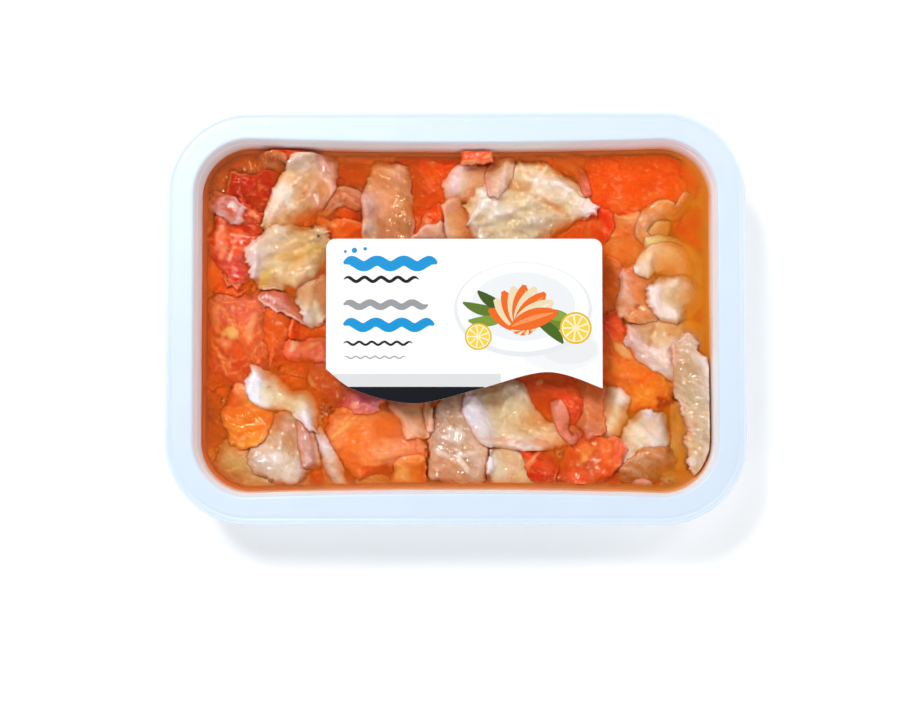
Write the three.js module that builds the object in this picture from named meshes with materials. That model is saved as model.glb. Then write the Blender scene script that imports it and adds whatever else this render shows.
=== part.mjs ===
// A sealed tray of assorted smoked fish in oil: a plastic tray, the oil up to its level, the slices
// that show through the clear lid film, the film itself and the printed label on it.
// Millimetres. The tray stands on z = 0 with its middle on the origin. +X is the long side.

import * as THREE from "three";

// ---- driving dimensions ----
const OPENING = { halfX: 85.5, halfY: 58.3, radius: 18 }; // the tray's mouth, inside the flange
const FLANGE = 9.5; // width of the sealing flange round the mouth
const HEIGHT = 36; // from the table to the flange's top
const WALL = 0.9; // thickness of wall and floor
const DRAFT = 7.5; // lean of the walls, in degrees
const BOW = 1.2; // how far the long walls bend in at their middle
const LIP = 2.8; // depth of the lip turned down round the flange
const FILM = 0.3; // thickness of the lid film
const LABEL = 0.2; // thickness of the label
const OIL_LEVEL = 25.5; // height of the oil's surface
const BED = 19.5; // height at which the lowest visible slices lie
const CLEARANCE = 0.35; // gap between neighbouring pieces
const SPREAD = 1.014; // slices lie below the rim, so places read at the rim's height spread by this

// ---- the slices, from the lowest to the highest ----
// name, middle line seen from above, widths at equal steps along it, thickness, least height
// above the bed where a slice is held up by the tray's wall
const SLICES = [
  ["salmon_corner", [[-80, 35], [-75, 46], [-58, 53]], [8, 12, 10], 2.5],
  ["salmon_dusk", [[-73, 42], [-66, 41], [-59, 39]], [7, 12, 13], 3],
  ["salmon_valley", [[-7, 54], [-8, 43], [-10, 25]], [25, 17, 12], 3],
  ["salmon_amber", [[44, 45], [60, 45.5], [77, 47]], [16, 21, 13], 3],
  ["salmon_arch", [[-36, 51], [-35, 40], [-35, 29]], [14, 14, 10], 2.5],
  ["white_low_corner", [[-77, -43], [-66, -50], [-49, -55]], [10, 14, 9], 3],
  ["salmon_left_sheet", [[-68, 8], [-69, -5], [-74, -21]], [24, 23, 14], 3.5],
  ["salmon_left_fin", [[-83, 18], [-76, 15], [-69, 10]], [9, 11, 4], 3],
  ["salmon_crown", [[-69, 35], [-71, 27], [-70, 15]], [11, 16, 7], 4],
  ["white_lump", [[-78, 41], [-72, 36]], [4, 5], 2.5],
  ["white_arch", [[-46, 35], [-37, 41], [-28, 36]], [4, 5, 4], 2.5],
  ["salmon_nib", [[-45, 31], [-38, 29], [-29, 28]], [3, 7, 5], 2.5],
  ["white_stave", [[-21, 51], [-22, 38], [-22, 18]], [11, 14, 15], 3],
  ["salmon_shoulder", [[57, 34], [56, 26], [57, 15]], [11, 13, 9], 3],
  ["salmon_grain", [[35, 25], [42, 28], [50, 34]], [6, 9, 9], 2.5],
  ["salmon_leaf", [[49, 19], [53, 11], [49, -2]], [5, 8, 5], 3],
  ["salmon_right_sheet", [[50, 1], [55, -12], [63, -25]], [9, 15, 19], 3.5],
  ["white_heel", [[53, -24], [50, -38]], [8, 7], 3],
  ["white_right_sheet", [[57, -4], [67, -8], [79, -13]], [7, 17, 17], 3],
  ["white_petal", [[66, -31], [62, -38], [54, -47]], [7, 14, 5], 3.5],
  ["salmon_bow", [[47, -39], [45, -46], [36, -54]], [13, 16, 8], 4],
  ["salmon_smooth", [[44, -20], [44, -30], [46, -38]], [8, 9, 7], 2.5],
  ["salmon_deep", [[20, -18], [31, -23], [38, -32]], [7, 14, 10], 3],
  ["white_grey", [[-1, -25], [1, -40], [3, -54]], [9, 17, 17], 3],
  ["white_rose", [[15, -42], [18, -49], [24, -57]], [9, 14, 10], 3],
  ["salmon_fold", [[22, -41], [27, -46], [31, -55]], [4, 9, 5], 3],
  ["salmon_front_block", [[-39, -38], [-27, -39], [-12, -43]], [12, 22, 7], 4],
  ["salmon_front_small", [[-20, -49], [-10, -50]], [6, 10], 3],
  ["white_tab", [[-15, -24], [-12, -39]], [13, 7], 2.5],
  ["white_gloss", [[-55, -33], [-56, -41], [-57, -51]], [10, 17, 14], 3.5],
  ["salmon_lattice", [[-70, -22], [-69, -31], [-69, -41]], [9, 14, 10], 3.5],
  ["salmon_dark_tuft", [[-46, -16], [-38, -23], [-26, -28]], [10, 11, 6], 3],
  ["salmon_tuft", [[-56, 1], [-57, -14]], [8, 9], 2.5],
  ["salmon_tile", [[-53, -3], [-34, -3]], [6, 7], 3],
  ["salmon_fringe", [[-55, -10], [-38, -10]], [7, 7], 2.5],
  ["white_tongue", [[-63, 8], [-56, 6], [-49, 0]], [4, 7, 4], 2.5],
  ["white_veil", [[-50, 15], [-46, 7], [-45, -1]], [8, 10, 6], 2.5],
  ["white_blade", [[-45, 56], [-49, 44], [-59, 31]], [10, 15, 7], 3.5],
  ["white_yellow", [[-66, 17], [-55, 21], [-42, 26]], [14, 21, 7], 3.5],
  ["white_left_lobe", [[-3, 41], [4, 45], [13, 46]], [6, 11, 10], 2.5],
  ["white_tan_lobe", [[-1, 38], [3, 26]], [7, 9], 2.5],
  ["white_cloud", [[6, 30], [18, 35], [31, 39], [45, 35.5]], [16, 25, 23, 2.5], 4],
  ["white_shard", [[18, 55.5], [15, 48], [13, 41]], [3, 8, 4], 2.5],
  ["salmon_peak", [[2, 53.5], [12, 54]], [7, 4], 3, 8.5],
  ["salmon_ring", [[34, 53], [40, 49.5], [43.5, 41]], [2.2, 2.6, 2.2], 3],
  ["white_curl", [[75, 41], [72, 36], [66, 36], [61, 31], [65, 26]], [3, 3, 3.5, 3, 2.5], 3.5],
  ["white_band", [[64, 25], [72, 24], [77, 20], [79.5, 12]], [3, 3, 3, 3], 3],
  ["white_hook", [[61, 16], [64, 20], [71, 20], [74, 15]], [4, 6, 6, 4], 3],
  ["white_knuckle", [[66, 9], [73, 9], [80, 8]], [9, 13, 11], 3.5],
  ["white_tan", [[58, 16], [60, 9], [59, 1]], [8, 11, 8], 3],
  ["white_ragged", [[78, -12], [80, -26], [83, -38], [78, -49]], [5, 8, 8, 6], 3, 7],
  ["white_big_slice", [[4, -25], [14, -30], [26, -37], [38, -39]], [10, 21, 10, 3], 3.5],
  ["salmon_curl", [[36, -28], [35, -33], [38.5, -35], [38.5, -39], [34, -39]], [2, 2, 2, 2, 2], 3],
  ["white_strip_long", [[-46, -37], [-41, -46], [-36, -55]], [3, 4, 3.5], 3],
  ["white_strip_short", [[-50, -34], [-47, -47]], [3, 4.5], 3],
  ["white_folded", [[-65, -23], [-57, -24], [-46, -31]], [8, 9, 9], 3],
];

// ---- finishes ----
const FINISHES = {
  tray: { color: 0xe6f1fb, roughness: 0.35, metalness: 0 },
  film: { color: 0xf4f8fb, roughness: 0.08, metalness: 0, transparent: true, opacity: 0.2 },
  label: { color: 0xf7f7f7, roughness: 0.4, metalness: 0 },
  oil: { color: 0xc8680a, roughness: 0.1, metalness: 0 },
  salmon: { color: 0xee5a1e, roughness: 0.3, metalness: 0 },
  white: { color: 0xe6d2b0, roughness: 0.3, metalness: 0 },
};

// ---- the tray's outline, from which tray, oil and film are made ----

const CORNER_STEPS = 7;
const COARSE = { long: 7, short: 4 }; // steps along the straight sides of the tray
const FINE = { long: 18, short: 10 }; // the same for the oil, which dips under the slices

/** Inset of the inner wall's face from the mouth, at height z. */
function lean(z) {
  return -(HEIGHT - z) * Math.tan(THREE.MathUtils.degToRad(DRAFT));
}

/** The mouth's outline moved out by offset, as a ring of points at height z. */
function ring(offset, z, bowed = true, steps = COARSE) {
  const x = OPENING.halfX + offset;
  const y = OPENING.halfY + offset;
  const r = OPENING.radius + offset;
  const points = [];
  for (let side = 0; side < 4; side++) {
    const turn = (side * Math.PI) / 2;
    const sx = side === 0 || side === 3 ? 1 : -1;
    const sy = side < 2 ? 1 : -1;
    for (let k = 0; k <= CORNER_STEPS; k++) {
      const a = turn + (k / CORNER_STEPS) * (Math.PI / 2);
      points.push([sx * (x - r) + r * Math.cos(a), sy * (y - r) + r * Math.sin(a)]);
    }
    const along = side % 2 === 0 ? steps.long : steps.short;
    for (let k = 1; k < along; k++) {
      const t = 1 - (2 * k) / along;
      points.push(side % 2 === 0 ? [sx * t * (x - r), sy * y] : [sx * x, sy * t * (y - r)]);
    }
  }
  return points.map(([px, py]) => {
    const onLongSide = Math.max(0, Math.abs(py) - (y - r)) / r;
    return [px, bowed ? py - Math.sign(py) * bend(px) * onLongSide : py, z];
  });
}

/** A closed body through rings of equally many points, closed at both ends by a fan. */
function loft(rings) {
  const count = rings[0].length;
  const positions = rings.flat().flat();
  const index = [];
  for (let i = 0; i + 1 < rings.length; i++) {
    for (let k = 0; k < count; k++) {
      const a = i * count + k;
      const b = i * count + ((k + 1) % count);
      index.push(a, b, b + count, a, b + count, a + count);
    }
  }
  for (const [i, flip] of [[0, true], [rings.length - 1, false]]) {
    const centre = positions.length / 3;
    positions.push(0, 0, rings[i][0][2]);
    for (let k = 0; k < count; k++) {
      const a = i * count + k;
      const b = i * count + ((k + 1) % count);
      index.push(...(flip ? [b, a, centre] : [a, b, centre]));
    }
  }
  return body(positions, index);
}

/** Geometry from plain lists of coordinates and of triangle corners. */
function body(positions, index) {
  const geometry = new THREE.BufferGeometry();
  geometry.setAttribute("position", new THREE.Float32BufferAttribute(positions, 3));
  geometry.setIndex(index);
  geometry.computeVertexNormals();
  return geometry;
}

function mesh(name, geometry, finish) {
  const made = new THREE.Mesh(geometry, new THREE.MeshStandardMaterial(FINISHES[finish]));
  made.name = name;
  return made;
}

// ---- tray, film and label ----

/** The tray: outside of the floor and wall, lip, flange, then down the inside to the floor. */
function makeTray() {
  const foot = lean(0) - 6;
  const profile = [
    [foot, 0],
    [foot + 3.8, 1.2],
    [lean(5) + WALL, 5],
    [lean(HEIGHT - WALL - 1) + WALL, HEIGHT - WALL - 1],
    [1.4, HEIGHT - WALL],
    [FLANGE - WALL, HEIGHT - WALL],
    [FLANGE - WALL, HEIGHT - LIP],
    [FLANGE, HEIGHT - LIP],
    [FLANGE, HEIGHT - 1],
    [FLANGE - 0.25, HEIGHT - 0.3],
    [FLANGE - 0.9, HEIGHT],
    [0.9, HEIGHT],
    [0.25, HEIGHT - 0.3],
    [lean(HEIGHT - 1), HEIGHT - 1],
    [lean(5.4), 5.4],
    [foot + 3.4, 2.2],
    [foot - 0.4, WALL],
  ];
  const straightFrom = 2; // past this offset the outline no longer bows
  return mesh("tray", loft(profile.map(([offset, z]) =>
    ring(offset, z, offset < straightFrom))), "tray");
}

/** A rounded rectangle as a shape, for the film. */
function roundedShape(halfX, halfY, r) {
  const shape = new THREE.Shape();
  shape.moveTo(halfX - r, -halfY);
  shape.absarc(halfX - r, -halfY + r, r, -Math.PI / 2, 0);
  shape.absarc(halfX - r, halfY - r, r, 0, Math.PI / 2);
  shape.absarc(-halfX + r, halfY - r, r, Math.PI / 2, Math.PI);
  shape.absarc(-halfX + r, -halfY + r, r, Math.PI, 1.5 * Math.PI);
  return shape;
}

/** The clear film sealed on the flange. */
function makeFilm() {
  const edge = FLANGE - 1;
  const outline = roundedShape(OPENING.halfX + edge, OPENING.halfY + edge, OPENING.radius + edge);
  const geometry = new THREE.ExtrudeGeometry(outline, {
    depth: FILM, bevelEnabled: false, curveSegments: 10,
  });
  const film = mesh("film", geometry, "film");
  film.position.z = HEIGHT;
  return film;
}

const LABEL_BOX = { left: -42.2, right: 47.9, top: 25.6, radius: 3 };
// the label's lower edge swings from a low point on the left to a crest on the right
const LABEL_WAVE = [[-42.2, -17], [-32, -24.2], [-13, -28.2], [8, -23.4], [30, -18], [47.9, -23.3]];

/** The printed label on the film, with its wavy lower edge. */
function makeLabel() {
  const { left, right, top, radius } = LABEL_BOX;
  const outline = new THREE.Shape();
  outline.moveTo(...LABEL_WAVE[0]);
  outline.splineThru(LABEL_WAVE.slice(1).map(([x, y]) => new THREE.Vector2(x, y)));
  outline.absarc(right - radius, top - radius, radius, 0, Math.PI / 2);
  outline.absarc(left + radius, top - radius, radius, Math.PI / 2, Math.PI);
  const geometry = new THREE.ExtrudeGeometry(outline, {
    depth: LABEL, bevelEnabled: false, curveSegments: 6,
  });
  const label = mesh("label", geometry, "label");
  label.position.z = HEIGHT + FILM;
  return label;
}

// ---- slices ----

const FACET = 4; // length of a facet on the slices
const EDGE = 0.45; // thickness at a slice's edge, as a share of its middle
const SHORE = 0.8; // least distance from a slice to the tray's wall
const STEP = 0.5; // spacing of the samples that keep slices apart

/** A smooth run through the numbers in values, at t from 0 to 1. */
function run(values, t) {
  const line = new THREE.SplineCurve(values.map((v, i) => new THREE.Vector2(i, v)));
  return line.getPoint(t).y;
}

/** How far the long walls bend in at a place along them. */
function bend(x) {
  return BOW * Math.max(0, 1 - (x / (OPENING.halfX - OPENING.radius)) ** 2);
}

/** Moves a point back inside the tray's outline at the given offset. */
function keepInside(x, y, offset) {
  const r = OPENING.radius + offset;
  const cx = OPENING.halfX - OPENING.radius;
  const cy = OPENING.halfY - OPENING.radius - bend(x);
  const dx = Math.max(0, Math.abs(x) - cx);
  const dy = Math.max(0, Math.abs(y) - cy);
  const far = Math.hypot(dx, dy);
  if (far <= r) return [x, y];
  const px = Math.min(Math.abs(x), cx) + (dx * r) / far;
  const py = Math.min(Math.abs(y), cy) + (dy * r) / far;
  return [Math.sign(x) * px, Math.sign(y) * py];
}

/** A slice's outline seen from above, as a grid of points across and along its middle line. */
function plan(path, widths, rise) {
  const line = new THREE.SplineCurve(path.map(([x, y]) =>
    new THREE.Vector2(x * SPREAD, y * SPREAD)));
  const widest = Math.max(...widths);
  const facet = Math.min(FACET, widest);
  const along = THREE.MathUtils.clamp(Math.round(line.getLength() / facet), 3, 11);
  const across = THREE.MathUtils.clamp(Math.round(widest / facet), 2, 6);
  const points = [];
  for (let i = 0; i <= along; i++) {
    const u = i / along;
    const middle = line.getPoint(u);
    const tangent = line.getTangent(u);
    const half = (run(widths, u) / 2) * (0.75 + 0.25 * Math.sqrt(1 - (2 * u - 1) ** 4));
    for (let j = 0; j <= across; j++) {
      const s = (2 * j) / across - 1;
      const x = middle.x - tangent.y * half * s;
      const y = middle.y + tangent.x * half * s;
      points.push(keepInside(x, y, lean(BED + rise) - SHORE));
    }
  }
  return { along, across, points };
}

/** The triangles of a grid, as triples of its point numbers, seen from above anticlockwise. */
function gridTriangles({ along, across }) {
  const triangles = [];
  for (let i = 0; i < along; i++) {
    for (let j = 0; j < across; j++) {
      const a = i * (across + 1) + j;
      const b = a + across + 1;
      triangles.push([a, b, b + 1], [a, b + 1, a + 1]);
    }
  }
  return triangles;
}

/** Calls visit with closely spaced points of a triangle and their shares of its corners. */
function sweep(corners, visit) {
  const [a, b, c] = corners;
  const longest = Math.max(
    Math.hypot(a[0] - b[0], a[1] - b[1]),
    Math.hypot(b[0] - c[0], b[1] - c[1]),
    Math.hypot(c[0] - a[0], c[1] - a[1]),
  );
  const n = Math.ceil(longest / STEP);
  for (let i = 0; i <= n; i++) {
    for (let j = 0; j <= n - i; j++) {
      const w = [i / n, j / n, (n - i - j) / n];
      visit(
        w[0] * a[0] + w[1] * b[0] + w[2] * c[0],
        w[0] * a[1] + w[1] * b[1] + w[2] * c[1],
        w,
      );
    }
  }
}

/** The height of whatever lies highest so far, in square cells over the tray. */
class Relief {
  constructor(level) {
    this.cell = 0.75;
    this.columns = Math.ceil((2 * OPENING.halfX) / this.cell);
    this.rows = Math.ceil((2 * OPENING.halfY) / this.cell);
    this.heights = new Float32Array(this.columns * this.rows).fill(level);
  }

  place(x, y) {
    return [
      Math.floor((x + OPENING.halfX) / this.cell),
      Math.floor((y + OPENING.halfY) / this.cell),
    ];
  }

  raise(x, y, z) {
    const [i, j] = this.place(x, y);
    const at = j * this.columns + i;
    this.heights[at] = Math.max(this.heights[at], z);
  }

  /** The highest point within a number of cells of a place. */
  above(x, y, reach = 1) {
    const [i, j] = this.place(x, y);
    let highest = -Infinity;
    for (let q = Math.max(0, j - reach); q <= Math.min(this.rows - 1, j + reach); q++) {
      for (let p = Math.max(0, i - reach); p <= Math.min(this.columns - 1, i + reach); p++) {
        highest = Math.max(highest, this.heights[q * this.columns + p]);
      }
    }
    return highest;
  }
}

/** Heights at which a slice's underside lies on the relief without touching it. */
function drape(sheet, triangles, relief, rise) {
  const { along, across, points } = sheet;
  const z = points.map(() => BED + rise);
  // lifted by part of what is missing at first, so that the lift spreads, and by all of it last
  for (const share of [0.2, 0.2, 0.3, 0.4, 0.6, 1]) {
    for (const triangle of triangles) {
      sweep(triangle.map((k) => points[k]), (x, y, w) => {
        const now = w[0] * z[triangle[0]] + w[1] * z[triangle[1]] + w[2] * z[triangle[2]];
        const short = (relief.above(x, y) + CLEARANCE - now) * share;
        const spread = w[0] ** 2 + w[1] ** 2 + w[2] ** 2;
        if (short > 0) triangle.forEach((k, n) => (z[k] += (short * w[n]) / spread));
      });
    }
  }
  // a slice is stiff enough to bridge a hollow: points rise to the mean of their neighbours
  for (let pass = 0; pass < 3; pass++) {
    for (let i = 1; i < along; i++) {
      for (let j = 0; j <= across; j++) {
        const k = i * (across + 1) + j;
        z[k] = Math.max(z[k], (z[k - across - 1] + z[k + across + 1]) / 2);
      }
    }
  }
  return z;
}

/** A repeatable number from 0 to 1 for each whole number. */
function chance(n) {
  const s = Math.sin(n * 12.9898 + 4.1) * 43758.5453;
  return s - Math.floor(s);
}

/** One slice: its draped underside, its crowned and uneven top, and the edge between them. */
function makeSlice([name, path, widths, thickness, rise = 0], order, relief) {
  const sheet = plan(path, widths, rise);
  const { along, across, points } = sheet;
  const triangles = gridTriangles(sheet);
  const under = drape(sheet, triangles, relief, rise);
  const top = under.map((z, k) => {
    const u = Math.floor(k / (across + 1)) / along;
    const s = (2 * (k % (across + 1))) / across - 1;
    const crown = EDGE + (1 - EDGE) * (1 - s ** 4) * (1 - (2 * u - 1) ** 6);
    return z + thickness * crown * (0.8 + 0.4 * chance(order * 131 + k));
  });
  for (const triangle of triangles) {
    sweep(triangle.map((k) => points[k]), (x, y, w) => {
      relief.raise(x, y, w[0] * top[triangle[0]] + w[1] * top[triangle[1]]
        + w[2] * top[triangle[2]]);
    });
  }
  const count = points.length;
  const positions = [
    ...points.flatMap(([x, y], k) => [x, y, top[k]]),
    ...points.flatMap(([x, y], k) => [x, y, under[k]]),
  ];
  const index = [
    ...triangles.flat(),
    ...triangles.flatMap(([a, b, c]) => [c + count, b + count, a + count]),
  ];
  const rim = [];
  for (let i = 0; i < along; i++) rim.push(i * (across + 1));
  for (let j = 0; j < across; j++) rim.push(along * (across + 1) + j);
  for (let i = along; i > 0; i--) rim.push(i * (across + 1) + across);
  for (let j = across; j > 0; j--) rim.push(j);
  rim.forEach((a, n) => {
    const b = rim[(n + 1) % rim.length];
    index.push(a, a + count, b + count, a, b + count, b);
  });
  return mesh(name, body(positions, index), name.split("_")[0]);
}

// ---- oil ----

const SHELVES = [1, 0.97, 0.94, 0.9, 0.85, 0.79, 0.72, 0.62, 0.5, 0.35, 0.18]; // its surface's rings
const LAP = 4; // how far from a slice, in cells, the oil stays down at the bed

/** The oil with what is sunk in it: level along the walls, lower where slices lie on it. */
function makeOil(covered) {
  const round = (inset, z) => ring(inset - CLEARANCE, z, true, FINE);
  const side = [
    round(lean(0) - 6.3, WALL + CLEARANCE),
    round(lean(0) - 2.9, 2.2 + CLEARANCE),
    round(lean(5.4), 5.4 + CLEARANCE),
    round(lean(BED - 1), BED - 1),
  ];
  const low = round(lean(BED), BED);
  const high = round(lean(OIL_LEVEL), OIL_LEVEL);
  const surface = SHELVES.map((share) => high.map(([x, y, z], k) => {
    const free = covered.above(x * share, y * share, LAP) < 0;
    if (share === 1 && !free) return low[k];
    return [x * share, y * share, free ? z : BED];
  }));
  return mesh("oil", loft([...side, ...surface]), "oil");
}

/** The relief raised to the surface of a mesh. */
function coverBy(made, relief) {
  const at = made.geometry.getAttribute("position");
  const index = made.geometry.getIndex();
  for (let k = 0; k < index.count; k += 3) {
    const corners = [0, 1, 2].map((n) => {
      const v = index.getX(k + n);
      return [at.getX(v), at.getY(v), at.getZ(v)];
    });
    sweep(corners, (x, y, w) => {
      relief.raise(x, y, w[0] * corners[0][2] + w[1] * corners[1][2] + w[2] * corners[2][2]);
    });
  }
}

// ---- assembly ----

const pack = new THREE.Group();
pack.add(makeTray());
pack.add(makeFilm());
pack.add(makeLabel());

const covered = new Relief(-1);
for (const [, path, widths, , rise = 0] of SLICES) {
  const sheet = plan(path, widths, rise);
  for (const triangle of gridTriangles(sheet)) {
    sweep(triangle.map((k) => sheet.points[k]), (x, y) => covered.raise(x, y, 0));
  }
}
const oil = makeOil(covered);
pack.add(oil);

const relief = new Relief(0);
coverBy(oil, relief);
SLICES.forEach((slice, order) => pack.add(makeSlice(slice, order, relief)));

export default pack;
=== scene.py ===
"""The look of a sealed tray of assorted smoked fish in oil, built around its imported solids.

The slices have the names, middle lines, widths and thicknesses of their solids, and are laid down
one by one on a fine relief, so that each takes the shape of what it lies on.
"""

import math

import bpy
import numpy as np
from bpy.props import FloatProperty, FloatVectorProperty, PointerProperty
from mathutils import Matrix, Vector


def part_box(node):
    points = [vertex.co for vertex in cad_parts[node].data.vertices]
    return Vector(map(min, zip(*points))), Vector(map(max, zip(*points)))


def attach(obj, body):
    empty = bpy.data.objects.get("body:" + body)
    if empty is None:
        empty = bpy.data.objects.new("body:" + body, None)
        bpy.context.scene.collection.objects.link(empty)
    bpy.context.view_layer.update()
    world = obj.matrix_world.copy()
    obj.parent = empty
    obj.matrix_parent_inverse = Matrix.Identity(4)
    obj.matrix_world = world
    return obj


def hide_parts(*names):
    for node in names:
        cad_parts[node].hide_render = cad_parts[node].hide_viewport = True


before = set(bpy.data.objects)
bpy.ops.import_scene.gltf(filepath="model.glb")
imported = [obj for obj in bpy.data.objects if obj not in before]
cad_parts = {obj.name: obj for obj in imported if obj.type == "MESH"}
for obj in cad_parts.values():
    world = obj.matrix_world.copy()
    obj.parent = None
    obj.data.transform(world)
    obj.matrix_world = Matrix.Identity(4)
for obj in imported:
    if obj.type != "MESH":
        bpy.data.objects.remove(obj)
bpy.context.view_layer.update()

bl_info = {
    "name": "Smoked Fish Pack",
    "version": (1, 0, 0),
    "blender": (4, 5, 0),
    "location": "View3D > Sidebar > Fish Pack",
    "description": "Builds a sealed tray of smoked fish slices in oil, with its film and label",
    "category": "Add Mesh",
}

MM = 0.001  # the formulas below work in millimetres, and meshes are in metres

# ---- the tray's form, as in its solid ----

CORNER_RADIUS = 18.0  # of the mouth
FLANGE = 9.5  # width of the sealing flange
DRAFT = math.radians(7.5)  # lean of the walls
BOW = 1.2  # how far the long walls bend in at their middle
LIP = 2.8  # depth of the lip turned down round the flange
FOOT = 6.0  # how far the wall bends in to meet the floor

# ---- the pile of fish ----

BED = 19.5  # height at which the lowest visible slices lie
SUNK_FLOOR = 12.0  # height from which the sunk slices are laid
SUNK_GAP = 0.9  # the sunk slices stay this far below the visible ones
SPREAD = 1.014  # slices lie below the rim, so places read at the rim's height spread by this
SHORE = 0.8  # least distance from a slice to the tray's wall
GAP = 0.06  # distance kept between a slice and what it lies on
CEILING = 35.6  # the slices stay below this, under the film

# ---- one slice ----

EDGE = 0.14  # thickness at a slice's edge, as a share of its middle
BEVEL = 1.1  # width over which its rim closes
FACET = 1.3  # height of the broad facets on it
REACH = 0.5  # how far it reaches past its outline before its rim is torn
PLAIN = {"sides": (), "fat": 0, "fat_gap": 3.2, "fat_turn": 55, "swell": 0.3, "crease": 0,
         "pebble": 0, "folds": (), "lip": 0.0, "rag": 0.5, "round": 0.15, "marks": ()}
# heights of facets, flakes and fine creases; strengths of clouds; colours of the painted highlight
# on thin rims and of the painted warm shade at the very edge, and strength of the painted highlight
# on torn rims; gains of red, green and blue; and how strongly the oil above it is painted with a
# red glow
KINDS = {
    "salmon": {"facets": 1, "flakes": 0.35, "fine": 1, "cloudy": 0.14, "speckled": 0.10,
               "thin": "FFB498", "torn": 0.7, "edge_shade": "E8501A", "gain": [1.08, 0.94, 0.56],
               "painted_glow": 1.0},
    "white": {"facets": 0.7, "flakes": 0.2, "fine": 0.4, "cloudy": 0.07, "speckled": 0.06,
              "thin": "FBEDE2", "torn": 0.3, "edge_shade": "EC7C40", "gain": [0.98, 0.91, 0.98],
              "painted_glow": 0.25},
}
SCATTER = {"salmon": (1.6, 0.35, 0.15), "white": (1.4, 0.9, 0.55)}  # how far red, green, blue go in
# fat and fibre colours are the flesh's own; the dip colour is painted shade, low between the
# creases, and the see-through colour a painted glow of light through the thin edges of white fish
FLESH = {"fat": "FFC498", "fibre": "FF8A50", "pale_fibre": "FFF6EA", "dip": "E0B490",
         "see_through_glow": "EC9C68"}
# painted warm shade on every slice's underside, salmon and white fish alike
UNDERSIDE_SHADE = "F0641C"
SUNK_TONES = {"salmon": ["E4480C F05010", "D83C0C E84C10", "F05A14 E64A10", "DC4A1C F06A30"],
              "white": ["DCA870 D8A060", "D09A60 E0B484"]}

# ---- oil and wall ----

# the band along the wall is painted: it covers the deep gap there with a colour for each side,
# which stands in for the shade and the light that the wall throws back
SHORE_BAND = 2.4  # width of the oil's darker band along the wall
SHORE_SHADE_TINTS = ("DC6A30", "EC9424", "E88444", "E49050")  # of that band at left, right, back, front
# the wall above the oil: an oil stain, with painted orange light that oil and fish throw onto it
WALL_STAIN_AND_GLOW = ("E88C60", "F0B068", "E89868", "F0AC78")  # of the stained wall above the oil
# painted light: the inside of the tray, lighter than the same plastic elsewhere, so that it stays
# pale in its shade
LIT_INNER_WALL = "F0F9FF"
# painted glow: the red of salmon seen through the oil, put into the oil's own colour
PAINTED_OIL_GLOW = "F2600F"  # where salmon lies below
OIL_GRID = (240, 170)  # points along and across the oil's surface

# ---- the label ----

LABEL_BOX = {"left": -42.2, "right": 47.9, "top": 25.6, "radius": 3.0}
LABEL_WAVE = [(-42.2, -17), (-32, -24.2), (-13, -28.2), (8, -23.4), (30, -18), (47.9, -23.3)]
PLATE_X = 22.0  # middle of the printed plate
INK_STEP = 0.006  # each printed shape stands this much above the ones it overlaps

# ---- the stage, in metres and watts ----

BOARD = 6.0  # half the studio board's side
LAMPS = [  # a soft one behind on the left, a small one for glints, and weaker ones for shadows
    ("key_softbox", 6.9, 0.29, 0.29, (-0.28, 0.36, 0.86)),
    ("glint_softbox", 0.8, 0.12, 0.12, (0.34, 0.22, 0.86)),
    ("front_softbox", 2.0, 0.5, 0.35, (0.5, -0.55, 0.62)),
    ("right_softbox", 0.9, 0.3, 0.4, (0.68, 0.36, 0.55)),
    ("left_softbox", 1.3, 0.3, 0.4, (-0.62, -0.46, 0.55)),
]

pile = {}  # the relief left by the slices, from which the oil's depth is measured


def linear(hex_colour):
    """An sRGB hex colour such as "E6F1FB" as four linear numbers."""
    part = np.array([int(hex_colour[k:k + 2], 16) / 255 for k in (0, 2, 4)])
    value = np.where(part <= 0.04045, part / 12.92, ((part + 0.055) / 1.055) ** 2.4)
    return (*value.tolist(), 1.0)


def rgb(hex_colour):
    """The same as an array of its first three."""
    return np.array(linear(hex_colour)[:3])


# ---- slices, from the lowest to the highest ----


def fish(name, path, widths, thickness, tones, rise=0.0, **look):
    """One slice: its middle line from above, widths along it, thickness, and colours along it.

    rise lifts a slice that the wall holds up. look holds any of: sides, the colours at its left
    and right edge; fat, the strength of the pale fat lines, with fat_gap and fat_turn; crease,
    pebble and swell, the heights of its relief; folds, ridges along it as (place across, width,
    height); lip, the lift of its rim; rag, the roughness of its outline; round, how far its
    corners are drawn back; and marks, patches on it as (x, y, half length, half width, turn,
    colour, strength, lift). Some marks are painted light: pale raised ones on the wet flesh are
    mostly painted highlights, and dark ones that also lower the surface are painted shade in
    hollows; others are the flesh's own colour. PLAIN gives what it leaves out.
    """
    return {**PLAIN, "name": name, "kind": name.split("_")[0], "path": path, "widths": widths,
            "thickness": thickness, "tones": tones.split(), "rise": rise, **look}


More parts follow.
